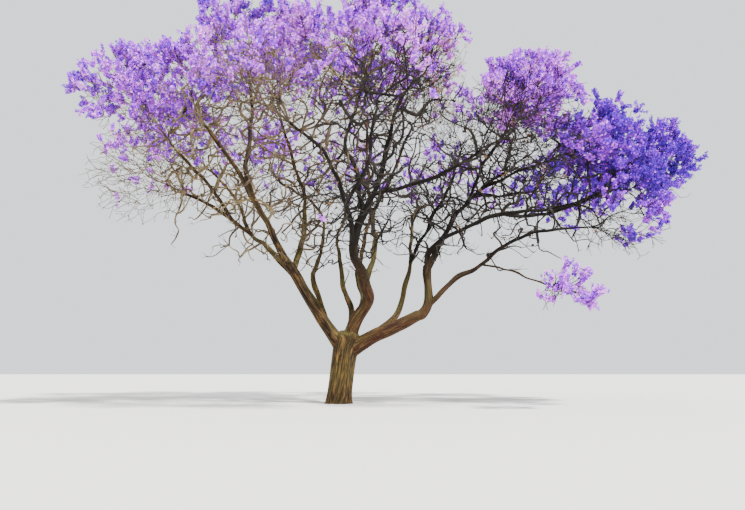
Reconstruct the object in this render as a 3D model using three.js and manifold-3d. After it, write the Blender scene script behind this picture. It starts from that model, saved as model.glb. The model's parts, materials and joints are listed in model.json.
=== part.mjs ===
// A jacaranda in blossom and nearly leafless: a low-forking trunk, long sinuous boughs and a
// wide, broken crown. Each crown mass is a stem whose twigs carry sprays of blossom.
// Millimetres, +Z up. The origin is the middle of the flat cut under the trunk, at ground level.
import * as THREE from 'three';
import { mergeVertices } from 'three/addons/utils/BufferGeometryUtils.js';
import Module from 'manifold-3d';

const wasm = await Module();
wasm.setup();
const { Manifold, Mesh } = wasm;

// Trunk
const trunkHeight = 2150; // ground to the crotch
const trunkCrown = 260; // the rounded top above the crotch
const trunkLean = 280; // how far the crotch stands to the right of the foot
const trunkLeanPower = 1.25;
const trunkRadius = 395;
const footFlare = 75; // what the root flare adds to the radius at the ground
const footFlareHeight = 230;
const forkSwell = 35; // what the fork adds to the radius at the crotch
const fluteDepth = 0.07; // of the radius
const fluteCount = 5;
const trunkSides = 18;
const trunkRings = 8;
const trunkRingCrowding = 1.15; // brings the rings closer together near the ground
const trunkTwist = 1500; // height over which the flutes turn by one radian
const trunkDome = 0.8; // how far the top closes in over the crotch
const trunkBeads = 5;

// Every limb
const clearance = 0.35; // between pieces that meet
const collar = 0.22; // swelling at a limb's foot, as a share of its radius
const collarRun = 2.2; // length of that swelling, in radii
const ringStep = 850; // along a limb
const beadStep = 60; // between the balls that stand for a limb in the distance tests
const fewestRings = 4;
const thickLimb = 130; // a limb with a thicker foot has more sides
const thickSides = 8;
const thinSides = 6;
const leadShare = 0.3; // a limb that runs on from another's end keeps its heading this far
const entryShell = 0.82; // a bough ends where it is this far out in its mass

// Each bough: its name, what it leaves, how far along, its two radii, and the points it passes.
// One that carries a mass of its own name runs on from its last point towards that mass.
const bough = (name, from, at, radii, ...way) => ({ name, from, at, radii, way });
const boughs = [
  bough('left', 'trunk', 0.8, [240, 160], [-450, -200, 2600], [-1050, -400, 3600], [-1600, -600, 4550]),
  bough('right', 'trunk', 0.76, [240, 175], [1120, -200, 2170], [1880, -400, 2450], [2630, -500, 2840]),
  bough('centre', 'trunk', 0.88, [225, 185], [560, -200, 2680], [1010, -400, 3400], [880, -650, 4080]),
  bough('right_rise', 'right', 1, [170, 135], [2960, -500, 3350], [2970, -300, 4500]),
  bough('centre_rise', 'centre', 1, [175, 120], [600, -1150, 4800], [720, -1500, 5540], [1040, -1800, 6390]),
  bough('top_left', 'left', 1, [130, 50], [-2150, -1200, 5520], [-2750, -2500, 7000], [-2750, -2400, 8250]),
  bough('left_crest', 'top_left', 0.5, [75, 45], [-3600, -3100, 8050]),
  bough('top_back_left', 'left', 0.93, [105, 50],
    [-1310, 300, 5500], [-1400, 1300, 7400], [-2000, 2200, 9000]),
  bough('left_skirt', 'left', 0.78, [110, 45],
    [-2150, -200, 5000], [-3200, 600, 5850], [-4950, 1000, 7100]),
  bough('left_lobe', 'left_skirt', 0.6, [75, 45], [-4500, -500, 7400]),
  bough('left_back', 'left_skirt', 0.5, [75, 45], [-4200, 2600, 7600]),
  bough('back_left', 'left', 0.3, [105, 45], [-850, 500, 4200], [-800, 1500, 5300], [-900, 3000, 7200]),
  bough('back_centre', 'trunk', 0.95, [125, 50], [400, 600, 3100], [100, 1400, 4300], [-200, 3000, 6100]),
  bough('crown_centre', 'trunk', 0.92, [115, 50], [800, 700, 3500], [600, 1800, 4750], [1100, 2900, 7000]),
  bough('left_front', 'centre_rise', 0.55, [85, 45], [420, -2200, 6050], [-300, -3600, 7400]),
  bough('front_mid', 'left_front', 0.35, [60, 42], [900, -3900, 7000]),
  bough('right_front', 'centre_rise', 1, [95, 45], [1650, -2050, 6700], [3300, -2800, 7050]),
  bough('top_right', 'centre_rise', 0.93, [95, 45],
    [1350, -1900, 7150], [1730, -2100, 8600], [2150, -2200, 9900]),
  bough('top_mid', 'top_right', 0.7, [55, 40], [900, -2500, 9800]),
  bough('top', 'centre_rise', 0.88, [80, 45], [650, -1250, 7450], [250, -800, 8450], [600, -600, 10000]),
  bough('top_back', 'centre', 0.92, [105, 50], [1250, 400, 5300], [1000, 1800, 7200], [900, 3100, 9000]),
  bough('back_right', 'right', 0.35, [120, 50], [2000, 400, 3050], [2450, 1200, 4500], [2700, 3200, 7000]),
  bough('shoulder_back', 'back_right', 0.55, [80, 45], [3100, 1500, 6200], [3900, 2000, 7600]),
  bough('right_outer', 'right_rise', 1, [100, 45],
    [3750, -900, 5500], [5350, -1450, 6000], [7250, -1500, 6300]),
  bough('right_skirt', 'right_rise', 0.12, [95, 42],
    [3760, -650, 4020], [4650, -900, 4450], [5480, -1500, 5100], [6650, -2350, 5330]),
  bough('right_tip', 'right_outer', 0.62, [70, 42], [6800, -600, 6250], [8100, -300, 6600]),
  bough('right_inner', 'right_rise', 0.97, [100, 50],
    [3700, -500, 5900], [4400, 200, 6850], [5100, 800, 7500]),
  bough('right_back', 'right_inner', 0.62, [70, 42], [6100, 2300, 7700]),
  bough('right_shoulder', 'right_inner', 0.75, [60, 42], [6200, 0, 7900]),
  bough('right_crest', 'right_inner', 0.55, [60, 42], [4900, -400, 8000]),
  bough('right_drop', 'right_skirt', 0.42, [42, 30], [5300, -1900, 4150], [5800, -2900, 3750]),
];

// Each mass: its name, how much of it is in blossom, its middle and its half sizes.
const crownMass = (name, bloom, middle, half) => ({ name, bloom, middle, half });
const masses = [
  crownMass('top_left', 1, [-3100, -1500, 11800], [2000, 2300, 1900]),
  crownMass('left_crest', 0.95, [-4600, -3200, 9500], [1600, 2000, 1600]),
  crownMass('left_lobe', 1, [-6300, -2700, 9400], [1800, 2200, 1700]),
  crownMass('left_skirt', 0.5, [-7200, 700, 8000], [2100, 2200, 1900]),
  crownMass('left_back', 0.95, [-6800, 3800, 10300], [2300, 2500, 2100]),
  crownMass('left_front', 0.9, [-2300, -5600, 8700], [1950, 2000, 1700]),
  crownMass('top_back_left', 0.95, [-2800, 2700, 12200], [2400, 2400, 1900]),
  crownMass('back_left', 0.95, [-3900, 6200, 9900], [2500, 2100, 2200]),
  crownMass('top_mid', 1, [-700, -1500, 11300], [1700, 2400, 1800]),
  crownMass('top', 0.95, [1300, -400, 12750], [1700, 2300, 1900]),
  crownMass('top_right', 0.8, [3000, -1600, 11100], [1500, 2200, 1850]),
  crownMass('top_back', 0.9, [900, 3600, 12200], [2400, 2400, 1900]),
  crownMass('crown_centre', 0.5, [3000, 2000, 11200], [1700, 1700, 1700]),
  crownMass('back_centre', 0.95, [200, 6600, 9500], [2400, 2100, 2200]),
  crownMass('front_mid', 0.9, [1300, -6400, 8600], [2100, 1900, 1700]),
  crownMass('right_front', 0.85, [5300, -5000, 7700], [2100, 2100, 1800]),
  crownMass('shoulder_back', 0.9, [5000, 3900, 10900], [2100, 2200, 1900]),
  crownMass('back_right', 0.95, [4500, 6500, 8900], [2400, 2000, 2100]),
  crownMass('right_crest', 0.95, [6300, -1400, 9850], [1750, 2200, 1650]),
  crownMass('right_shoulder', 1, [8200, -1300, 8400], [1800, 2200, 1450]),
  crownMass('right_inner', 0.6, [7000, 1900, 9200], [2000, 1900, 1700]),
  crownMass('right_back', 0.95, [9000, 3900, 8300], [2300, 2300, 1800]),
  crownMass('right_outer', 0.9, [9400, -1400, 7100], [1500, 2000, 1300]),
  crownMass('right_tip', 1, [10800, 0, 7900], [1600, 2100, 1700]),
  crownMass('right_skirt', 0.6, [8700, -2600, 5500], [1600, 1600, 1200]),
  crownMass('right_drop', 1, [6550, -4000, 3250], [1050, 1000, 850]),
];

// Growth of a mass
const firstSeed = 4107;
const sprayRule = { base: 250, share: 0.42 }; // spray length: base plus this share of the half size
const sprayWidth = 0.7; // of its length
const sprayThick = 0.4; // of its length
const sprayRoot = 0.32; // how much of it its twig's end is sunk into it
const sprayAside = 0.1; // how far it stands to one side of that twig, of its width and thickness
const twigRule = { base: 3, perSquareMetre: 2.2 }; // how many twigs end in a mass
const triesPerPoint = 7; // the loneliest of these becomes a twig's end
const drawLimit = 60;
const shortestDraw = 0.1;
const spraySizes = [1, 0.82, 0.66, 0.5]; // shares of the full size, tried in this order
const headingShare = 0.7; // how far a spray keeps its twig's heading
const sprayRise = new THREE.Vector3(0, 0, 0.35); // leans it upwards
const sprayShell = 1.06; // its corners stay within this share of the mass's half sizes
const innerShell = 0.3; // no twig ends further in than this share of the half size
const lift = 0.22; // leans the twig ends upwards
const stemShare = 0.4; // the stem runs this share of the way to the middle
const balance = 0.35; // what a twig pays for each millimetre back to the stem
const turnCost = 0.22; // what it pays for doubling back
const joinTries = 6; // nodes that are tried before a twig is left out
const elbowFrom = 1300; // a longer twig bends at its middle
const wander = 0.14; // sideways bend of a twig, of its length
const twigRadius = 15;
const thinning = 0.42; // a twig's radius goes with this power of the tips that it feeds
const stemTaper = 0.85;
const footShare = 0.45; // a twig's foot, as a share of the radius of what it leaves
const stemSides = 5;
const twigSides = 3;
const twigRoom = 40; // the radius that a twig's way is kept clear for
const drawRoom = 0.4; // room round a twig's end to its cell's sides, of the room for a spray
const limbRoom = 15; // between a twig or spray and a limb
const cellRoom = 12; // between a twig or spray and the side of its mass's space

const up = new THREE.Vector3(0, 0, 1);
const sideways = new THREE.Vector3(0.3, 0.5, 0.8); // the first side of a tube's sections
const weld = 1e-4; // points of a unit shape closer than this are one

const bark = new THREE.MeshStandardMaterial({ color: 0x75675a, roughness: 0.95, metalness: 0 });
const redBark = new THREE.MeshStandardMaterial({ color: 0x6e5546, roughness: 0.95, metalness: 0 });
const lilac = new THREE.MeshStandardMaterial({ color: 0xa18fc4, roughness: 0.8, metalness: 0 });
const violet = new THREE.MeshStandardMaterial({ color: 0x7466b4, roughness: 0.8, metalness: 0 });

// A repeatable run of numbers from 0 to 1.
function seeded(seed) {
  let state = seed >>> 0;
  return () => {
    state = (state + 0x6d2b79f5) >>> 0;
    let mixed = Math.imul(state ^ (state >>> 15), 1 | state);
    mixed = (mixed + Math.imul(mixed ^ (mixed >>> 7), 61 | mixed)) ^ mixed;
    return ((mixed ^ (mixed >>> 14)) >>> 0) / 4294967296;
  };
}

function vector(list) {
  return new THREE.Vector3(...list);
}

// A capped cylinder whose points are set by place(along 0 to 1, ring, angle, out 0 or 1).
function bentCylinder(sides, rings, place) {
  const cylinder = new THREE.CylinderGeometry(1, 1, 1, sides, rings);
  cylinder.deleteAttribute('normal');
  cylinder.deleteAttribute('uv');
  const geometry = mergeVertices(cylinder, weld);
  const points = geometry.getAttribute('position');
  for (let i = 0; i < points.count; i += 1) {
    const along = points.getY(i) + 0.5;
    const out = Math.hypot(points.getX(i), points.getZ(i)) > 0.5 ? 1 : 0;
    const angle = Math.atan2(points.getZ(i), points.getX(i));
    const point = place(along, Math.round(along * rings), angle, out);
    points.setXYZ(i, point.x, point.y, point.z);
  }
  return geometry;
}

function toSolid(geometry) {
  const vertProperties = new Float32Array(geometry.getAttribute('position').array);
  const triVerts = new Uint32Array(geometry.index.array);
  return new Manifold(new Mesh({ numProp: 3, vertProperties, triVerts }));
}

// The largest body of a solid, so that loose scraps go and sealed hollows are filled.
function mainBody(solid) {
  return solid.decompose().reduce((best, body) => (body.volume() > best.volume() ? body : best));
}

function toMesh(name, solid, material) {
  const { vertProperties, triVerts } = solid.getMesh();
  const geometry = new THREE.BufferGeometry();
  geometry.setAttribute('position', new THREE.BufferAttribute(vertProperties, 3));
  geometry.setIndex(new THREE.BufferAttribute(triVerts, 1));
  geometry.computeVertexNormals();
  const mesh = new THREE.Mesh(geometry, material);
  mesh.name = name;
  return mesh;
}

function trunkMiddle(height) {
  const share = Math.min(height / trunkHeight, 1);
  return new THREE.Vector3(trunkLean * share ** trunkLeanPower, 0, height);
}

// Plain trunk radius: the girth, the root flare and the swelling under the fork.
function trunkGirth(height) {
  const share = Math.min(height / trunkHeight, 1);
  return trunkRadius + footFlare * Math.exp(-height / footFlareHeight) + forkSwell * share ** 3;
}

// The trunk stands on a flat foot, is fluted, and closes in a low dome over the crotch.
function trunkSolid(extra) {
  const full = trunkHeight + trunkCrown;
  const geometry = bentCylinder(trunkSides, trunkRings, (along, ring, angle, out) => {
    const height = full * along ** trunkRingCrowding;
    const dome = Math.max(0, (height - trunkHeight) / trunkCrown);
    const flutes = 1 + fluteDepth * Math.cos(fluteCount * angle + height / trunkTwist);
    const radius = trunkGirth(height) * flutes * Math.sqrt(1 - trunkDome * dome * dome) + extra;
    const point = trunkMiddle(height);
    point.x += out * radius * Math.cos(angle);
    point.y -= out * radius * Math.sin(angle);
    point.z += extra * dome;
    return point;
  });
  return toSolid(geometry);
}

function limbRadius(limb, along) {
  const [foot, end] = limb.radii;
  const swelling = limb.at < 1 ? collar * foot : 0;
  return foot + (end - foot) * along + swelling * Math.exp((-along * limb.length) / (collarRun * foot));
}

// A closed tube along a row of middles, with a radius and a square-on section at each.
function tube(middles, headings, radii, sides) {
  const normals = [];
  headings.forEach((heading, i) => {
    const last = i ? normals[i - 1] : sideways;
    normals.push(last.clone().projectOnPlane(heading).normalize());
  });
  const geometry = bentCylinder(sides, middles.length - 1, (along, ring, angle, out) => {
    const normal = normals[ring].clone().applyAxisAngle(headings[ring], -angle);
    return middles[ring].clone().addScaledVector(normal, out * radii[ring]);
  });
  return toSolid(geometry);
}

// A tapering limb along its curve, grown by some extra on all its faces.
function limbSolid(limb, extra) {
  const sides = limb.radii[0] > thickLimb ? thickSides : thinSides;
  const rings = Math.max(fewestRings, Math.round(limb.length / ringStep));
  const alongs = Array.from({ length: rings + 1 }, (_, i) => i / rings);
  const middles = alongs.map((along) => limb.curve.getPoint(along));
  const headings = alongs.map((along) => limb.curve.getTangent(along));
  middles[0].addScaledVector(headings[0], -extra);
  middles[rings].addScaledVector(headings[rings], extra);
  return tube(middles, headings, alongs.map((along) => limbRadius(limb, along) + extra), sides);
}

function curveThrough(points) {
  return new THREE.CatmullRomCurve3(points, false, 'catmullrom', 0.5);
}

// How far out a point is in a mass: 0 at its middle, 1 on its surface less some room.
function shellOf(mass, point, room) {
  const [x, y, z] = mass.half;
  const away = point.clone().sub(mass.centre);
  return Math.hypot(away.x / (x - room), away.y / (y - room), away.z / (z - room));
}

// Where the straight way from a point to a mass's middle is as far out as the entry shell.
function entryInto(mass, from) {
  const share = entryShell / shellOf(mass, from, 0);
  return mass.centre.clone().lerp(from, Math.min(share, 1));
}

// Distance from a point to the plane between two masses' spaces. Cells have flat sides.
function cellDepth(mass, other, point) {
  const between = mass.centre.distanceTo(other.centre);
  const toOther = point.distanceToSquared(other.centre) - other.size * other.size;
  const toOwn = point.distanceToSquared(mass.centre) - mass.size * mass.size;
  return (toOther - toOwn) / (2 * between);
}

function inCell(mass, point, room) {
  return masses.every((other) => other === mass || cellDepth(mass, other, point) > room);
}

// Whether a straight stretch of some radius lies clear of the limbs near its mass.
function clearOfLimbs(mass, from, to, radius) {
  const stretch = new THREE.Line3(from, to);
  const nearest = new THREE.Vector3();
  return mass.nearBeads.every((bead) => {
    stretch.closestPointToPoint(bead.place, true, nearest);
    return nearest.distanceTo(bead.place) > bead.radius + radius + limbRoom;
  });
}

// The beads of all limbs that a mass's twigs or sprays could reach.
function beadsNear(mass) {
  const reach = Math.max(...mass.half) + mass.spray;
  return limbs.flatMap((limb) => limb.beads).filter((bead) => bead.place.distanceTo(mass.centre) < reach);
}

// Beads along a limb, close enough to stand for it in the distance tests.
function beadsAlong(limb) {
  const count = Math.ceil(limb.length / beadStep);
  return Array.from({ length: count + 1 }, (_, i) => {
    return { place: limb.curve.getPoint(i / count), radius: limbRadius(limb, i / count) };
  });
}

function fits(mass, point, radius) {
  return shellOf(mass, point, radius) < 1 && inCell(mass, point, radius + cellRoom);
}

// One draw of a twig's end: a direction leaning upwards, and a depth under the surface.
function drawPoint(mass, random, room) {
  for (let draw = 0; draw < drawLimit; draw += 1) {
    const away = new THREE.Vector3(2 * random() - 1, 2 * random() - 1, 2 * random() - 1);
    const depth = innerShell + (1 - innerShell) * Math.sqrt(random());
    if (away.length() > 1 || away.length() < shortestDraw) continue;
    away.normalize();
    away.z += lift;
    away.normalize().multiplyScalar(depth);
    const [x, y, z] = mass.half.map((half) => half - room);
    const point = new THREE.Vector3(x, y, z).multiply(away).add(mass.centre);
    if (fits(mass, point, room * drawRoom)) return point;
  }
  return null;
}

// Twig ends spread through a mass: each is the loneliest of a few draws.
function scatter(mass, count, random, room) {
  const ends = [];
  for (let i = 0; i < count; i += 1) {
    let best = null;
    let loneliest = -1;
    for (let attempt = 0; attempt < triesPerPoint; attempt += 1) {
      const point = drawPoint(mass, random, room);
      if (!point) continue;
      const gap = ends.reduce((least, end) => Math.min(least, end.place.distanceTo(point)), Infinity);
      if (gap > loneliest) {
        best = point;
        loneliest = gap;
      }
    }
    const bend = new THREE.Vector3(random() - 0.5, random() - 0.5, random() - 0.5);
    const chance = random();
    if (best) ends.push({ place: best, bend, chance });
  }
  return ends;
}

// What it costs a new twig to leave the tree at a given node.
function joinCost(node, point) {
  const way = point.clone().sub(node.place);
  const length = way.length();
  const turn = 1 - way.dot(node.heading) / length;
  return length + balance * node.run + turnCost * turn * length;
}

// The elbow of a long twig: its middle, moved aside.
function elbowOf(node, end) {
  const way = end.place.clone().sub(node.place);
  const length = way.length();
  const side = end.bend.clone().projectOnPlane(way.normalize());
  const aside = length > elbowFrom ? 2 * wander * length : 0;
  return node.place.clone().lerp(end.place, 0.5).addScaledVector(side, aside);
}

function wayIsClear(mass, node, elbow, end) {
  return fits(mass, elbow, twigRoom)
    && clearOfLimbs(mass, node.place, elbow, twigRoom)
    && clearOfLimbs(mass, elbow, end.place, twigRoom);
}

// The tree of a mass: ends are taken outwards from the stem, each from its cheapest clear node.
function growTree(mass, ends, root) {
  const nodes = [root];
  const byDistance = [...ends].sort((a, b) => {
    return a.place.distanceTo(root.place) - b.place.distanceTo(root.place);
  });
  for (const end of byDistance) {
    const choice = nodes
      .map((node) => ({ node, cost: joinCost(node, end.place) }))
      .sort((a, b) => a.cost - b.cost)
      .slice(0, joinTries)
      .find(({ node }) => wayIsClear(mass, node, elbowOf(node, end), end));
    if (!choice) continue;
    const parent = choice.node;
    const elbow = elbowOf(parent, end);
    nodes.push({
      place: end.place,
      elbow,
      bent: parent.place.distanceTo(end.place) > elbowFrom,
      parent,
      chance: end.chance,
      heading: end.place.clone().sub(elbow).normalize(),
      run: parent.run + parent.place.distanceTo(end.place),
      tips: 0,
    });
  }
  for (const node of nodes) {
    for (let up = node; up; up = up.parent) up.tips += 1;
  }
  return nodes;
}

// A twig's radius from the share of the mass's tips that it feeds.
function twigGirth(root, node) {
  return Math.max(twigRadius, root.radius * (node.tips / root.tips) ** thinning);
}

// The heaviest twig that goes on from a node.
function heir(nodes, node) {
  const next = nodes.filter((one) => one.parent === node);
  return next.reduce((best, one) => (best && best.tips >= one.tips ? best : one), null);
}

// The points and radii of one unbroken twig, from a node on to its furthest heir.
function runOf(root, nodes, node) {
  const points = [];
  const radii = [];
  for (let one = node; one; one = heir(nodes, one)) {
    const girth = twigGirth(root, one);
    if (one.bent) {
      points.push(one.elbow);
      radii.push(girth);
    }
    points.push(one.place);
    radii.push(girth);
  }
  return { points, radii };
}

function headingsAlong(points, first) {
  return points.map((point, i) => {
    if (i === 0 && first) return first;
    const before = points[Math.max(i - 1, 0)];
    const after = points[Math.min(i + 1, points.length - 1)];
    return after.clone().sub(before).normalize();
  });
}

// A twig that leaves another: its foot is sunk into the middle of the other.
function twigSolid(root, nodes, node) {
  const { points, radii } = runOf(root, nodes, node);
  const foot = Math.min(radii[0], footShare * twigGirth(root, node.parent));
  const middles = [node.parent.place, ...points];
  return tube(middles, headingsAlong(middles), [foot, ...radii], twigSides);
}

// The stem goes on from the bough's end, square to it, and on through the heaviest twigs.
function stemSolid(root, nodes) {
  const { points, radii } = runOf(root, nodes, heir(nodes, root));
  const middles = [root.start, root.place, ...points];
  const girths = [root.foot, root.radius, ...radii];
  return tube(middles, headingsAlong(middles, root.heading), girths, stemSides);
}

function rootOf(mass) {
  const carrier = limbs.find((limb) => limb.name === mass.name);
  const heading = carrier.curve.getTangent(1);
  const start = carrier.curve.getPoint(1).addScaledVector(heading, clearance);
  const place = start.clone().lerp(mass.centre, stemShare);
  const foot = carrier.radii[1];
  return { place, start, foot, heading, parent: null, run: 0, tips: 0, radius: foot * stemTaper };
}

// The way that a spray points: on from its twig, outwards and a little up.
function sprayHeading(root, node) {
  const outwards = node.place.clone().sub(root.place).normalize();
  return node.heading.clone().multiplyScalar(headingShare).add(outwards).add(sprayRise).normalize();
}

// Where an eight-faced spray lies. Its twig comes in through the middle of one face.
function sprayPlace(root, node, length) {
  const heading = sprayHeading(root, node);
  const turn = new THREE.Quaternion().setFromUnitVectors(up, heading);
  const size = new THREE.Vector3(sprayWidth, sprayThick, 1).multiplyScalar(length);
  const shift = new THREE.Vector3(-sprayAside, -sprayAside, 0.5 - sprayRoot).multiply(size);
  return { middle: node.place.clone().add(shift.applyQuaternion(turn)), turn, size };
}

function spraySolid({ middle, turn, size }) {
  const geometry = new THREE.OctahedronGeometry(0.5);
  geometry.deleteAttribute('normal');
  geometry.deleteAttribute('uv');
  const placed = new THREE.Matrix4().compose(middle, turn, size);
  return toSolid(mergeVertices(geometry, weld).applyMatrix4(placed));
}

function sprayCorners({ middle, turn, size }) {
  const tips = [[0.5, 0, 0], [-0.5, 0, 0], [0, 0.5, 0], [0, -0.5, 0], [0, 0, 0.5], [0, 0, -0.5]];
  return tips.map((tip) => vector(tip).multiply(size).applyQuaternion(turn).add(middle));
}

// Whether a spray stays in its mass's space and clear of the limbs.
function sprayFits(mass, spray) {
  const inside = sprayCorners(spray).every((corner) => {
    return shellOf(mass, corner, 0) < sprayShell && inCell(mass, corner, cellRoom);
  });
  const { middle, turn, size } = spray;
  const back = turn.clone().invert();
  const slope = 2 * Math.hypot(1 / size.x, 1 / size.y, 1 / size.z);
  return inside && mass.nearBeads.every((bead) => {
    const away = bead.place.clone().sub(middle).applyQuaternion(back).divide(size);
    const outside = 2 * (Math.abs(away.x) + Math.abs(away.y) + Math.abs(away.z)) - 1;
    return outside / slope > bead.radius + limbRoom;
  });
}

// The largest spray that fits at a twig's end, if any does.
function largestSpray(mass, root, node) {
  return spraySizes
    .map((share) => sprayPlace(root, node, share * mass.spray))
    .find((spray) => sprayFits(mass, spray));
}

function growMass(mass, index) {
  const random = seeded(firstSeed + 31 * index);
  const root = rootOf(mass);
  mass.nearBeads = beadsNear(mass);
  const count = Math.round(twigRule.base + twigRule.perSquareMetre * (mass.size / 1000) ** 2);
  const ends = scatter(mass, count, random, mass.spray * (1 - sprayRoot));
  const nodes = growTree(mass, ends, root);
  const pieces = [stemSolid(root, nodes)];
  for (const node of nodes.slice(1)) {
    if (node !== heir(nodes, node.parent)) pieces.push(twigSolid(root, nodes, node));
    const spray = node.chance < mass.bloom && largestSpray(mass, root, node);
    if (spray) pieces.push(spraySolid(spray));
  }
  return mainBody(Manifold.union(pieces));
}

for (const mass of masses) {
  mass.centre = vector(mass.middle);
  mass.size = (mass.half[0] + mass.half[1] + mass.half[2]) / 3;
  mass.spray = sprayRule.base + sprayRule.share * mass.size;
}

// Limbs in the order in which they are set: the trunk, then each bough after what it leaves.
const limbs = [];

function trunkLimb() {
  const heights = Array.from({ length: trunkBeads + 1 }, (_, i) => (trunkHeight * i) / trunkBeads);
  const curve = curveThrough(heights.map(trunkMiddle));
  const beads = heights.map((height) => ({ place: trunkMiddle(height), radius: trunkGirth(height) }));
  return { name: 'trunk', curve, beads };
}

function boughLimb(row) {
  const parent = limbs.find((limb) => limb.name === row.from);
  const points = row.way.map(vector);
  const start = parent.curve.getPoint(row.at);
  if (row.at === 1) {
    const heading = parent.curve.getTangent(1);
    start.addScaledVector(heading, clearance);
    points.unshift(start.clone().addScaledVector(heading, leadShare * start.distanceTo(points[0])));
  }
  const mass = masses.find((one) => one.name === row.name);
  if (mass) points.push(entryInto(mass, points[points.length - 1]));
  const curve = curveThrough([start, ...points]);
  const limb = { ...row, curve, length: curve.getLength() };
  limb.beads = beadsAlong(limb);
  return limb;
}

// A bough less every limb that was set before it and that it meets.
function cutBough(limb, cutters) {
  let solid = limbSolid(limb, 0);
  for (const cutter of cutters) {
    if (solid.minGap(cutter, 1) < 1) solid = solid.subtract(cutter);
  }
  return mainBody(solid);
}

const tree = new THREE.Group();
limbs.push(trunkLimb());
const cutters = [trunkSolid(clearance)];
tree.add(toMesh('trunk', trunkSolid(0), bark));
for (const row of boughs) {
  const limb = boughLimb(row);
  const material = /^(centre|right)/.test(row.name) ? redBark : bark;
  tree.add(toMesh(`bough_${limb.name}`, cutBough(limb, cutters), material));
  cutters.push(limbSolid(limb, clearance));
  limbs.push(limb);
}
masses.forEach((mass, index) => {
  const material = mass.name.startsWith('right') ? violet : lilac;
  tree.add(toMesh(`mass_${mass.name}`, growMass(mass, index), material));
});

export default tree;
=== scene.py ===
import json
import math
import bpy
import numpy as np
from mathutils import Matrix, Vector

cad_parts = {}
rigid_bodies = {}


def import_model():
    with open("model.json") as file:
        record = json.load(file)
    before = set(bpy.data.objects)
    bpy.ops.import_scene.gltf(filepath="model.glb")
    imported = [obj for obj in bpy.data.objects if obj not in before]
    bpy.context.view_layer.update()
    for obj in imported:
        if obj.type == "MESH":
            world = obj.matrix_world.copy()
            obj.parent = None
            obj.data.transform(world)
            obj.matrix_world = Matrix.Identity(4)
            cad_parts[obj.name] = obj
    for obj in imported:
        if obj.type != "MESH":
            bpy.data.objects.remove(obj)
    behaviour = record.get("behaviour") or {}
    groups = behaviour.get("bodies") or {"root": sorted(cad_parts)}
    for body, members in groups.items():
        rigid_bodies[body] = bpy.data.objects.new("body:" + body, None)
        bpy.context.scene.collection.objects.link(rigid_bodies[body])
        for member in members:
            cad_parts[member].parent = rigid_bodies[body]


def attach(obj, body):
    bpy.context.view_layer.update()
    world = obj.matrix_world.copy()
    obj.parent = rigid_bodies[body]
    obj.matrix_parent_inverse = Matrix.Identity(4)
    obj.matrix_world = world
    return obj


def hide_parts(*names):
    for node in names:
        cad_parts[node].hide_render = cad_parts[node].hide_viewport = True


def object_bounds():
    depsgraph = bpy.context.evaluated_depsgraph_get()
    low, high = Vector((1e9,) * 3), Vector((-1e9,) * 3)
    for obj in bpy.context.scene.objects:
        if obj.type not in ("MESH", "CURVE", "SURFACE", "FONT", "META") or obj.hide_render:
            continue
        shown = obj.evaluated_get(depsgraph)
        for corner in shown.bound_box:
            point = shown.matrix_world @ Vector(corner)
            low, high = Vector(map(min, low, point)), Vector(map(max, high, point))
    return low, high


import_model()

# A jacaranda in blossom, nearly leafless. Limbs and twigs follow the same growth rule as the solids:
# places are worked out in millimetres and go into the meshes in metres.

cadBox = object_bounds()
mm = 0.001
up = np.array([0.0, 0.0, 1.0])
sideways = np.array([0.3, 0.5, 0.8])  # the first side of a tube's sections
chordPull = 0.9  # a curve's end slopes, as a share of its chord
fullTurn = 6.28  # radians, for random rolls
tubeFields = ("starts", "ends", "leaving", "arriving", "radii")  # of a set of stretches of wood
copyFields = ("places", "ways", "sizes", "rolls")  # of a set of copies of one shape


# Numbers and small tools


def seededRun(seed):  # the solids' own repeatable run of numbers from 0 to 1
    mask = 0xFFFFFFFF
    state = seed & mask

    def draw():
        nonlocal state
        state = (state + 0x6D2B79F5) & mask
        mixed = ((state ^ (state >> 15)) * (1 | state)) & mask
        mixed = ((mixed + (((mixed ^ (mixed >> 7)) * (61 | mixed)) & mask)) & mask) ^ mixed
        return ((mixed ^ (mixed >> 14)) & mask) / 4294967296

    return draw


def unit(vectors):  # each over its own length
    return vectors / np.maximum(np.linalg.norm(vectors, axis=-1, keepdims=True), 1e-9)


def acrossFrom(vectors, axis):  # the part of the vectors that is square to an axis
    return vectors - (vectors * axis).sum(-1, keepdims=True) * axis


def squareTo(ways):  # two headings square to each way and to each other
    first = unit(acrossFrom(np.broadcast_to(sideways, ways.shape), ways))
    return first, np.cross(ways, first)


# Smooth curve through points: each stretch is a cubic whose end slopes are half the chord between the
# neighbours on both sides; past each end the next point is mirrored outwards.
def splineAt(points, shares):
    ends = np.vstack([2 * points[0] - points[1], points, 2 * points[-1] - points[-2]])
    spot = np.clip(shares, 0, 1) * (len(points) - 1)
    cell = np.minimum(spot.astype(int), len(points) - 2)
    t = (spot - cell)[:, None]
    a, b, c, d = (ends[cell + k] for k in range(4))
    return 0.5 * (2 * b + (c - a) * t + (2 * a - 5 * b + 4 * c - d) * t**2 + (3 * b - a - 3 * c + d) * t**3)


def splineHeading(points, shares, step=1e-4):  # the way from just before to just after
    return unit(splineAt(points, shares + step) - splineAt(points, shares - step))


# A cubic from one place to another that leaves and arrives along given headings.
def hermite(starts, ends, startWays, endWays, shares):
    pull = chordPull * np.linalg.norm(ends - starts, axis=-1)[..., None, None]
    t = np.asarray(shares)[:, None]
    a, b = starts[..., None, :], ends[..., None, :]
    return ((2 * t**3 - 3 * t**2 + 1) * a + (t**3 - 2 * t**2 + t) * pull * startWays[..., None, :]
            + (3 * t**2 - 2 * t**3) * b + (t**3 - t**2) * pull * endWays[..., None, :])


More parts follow.
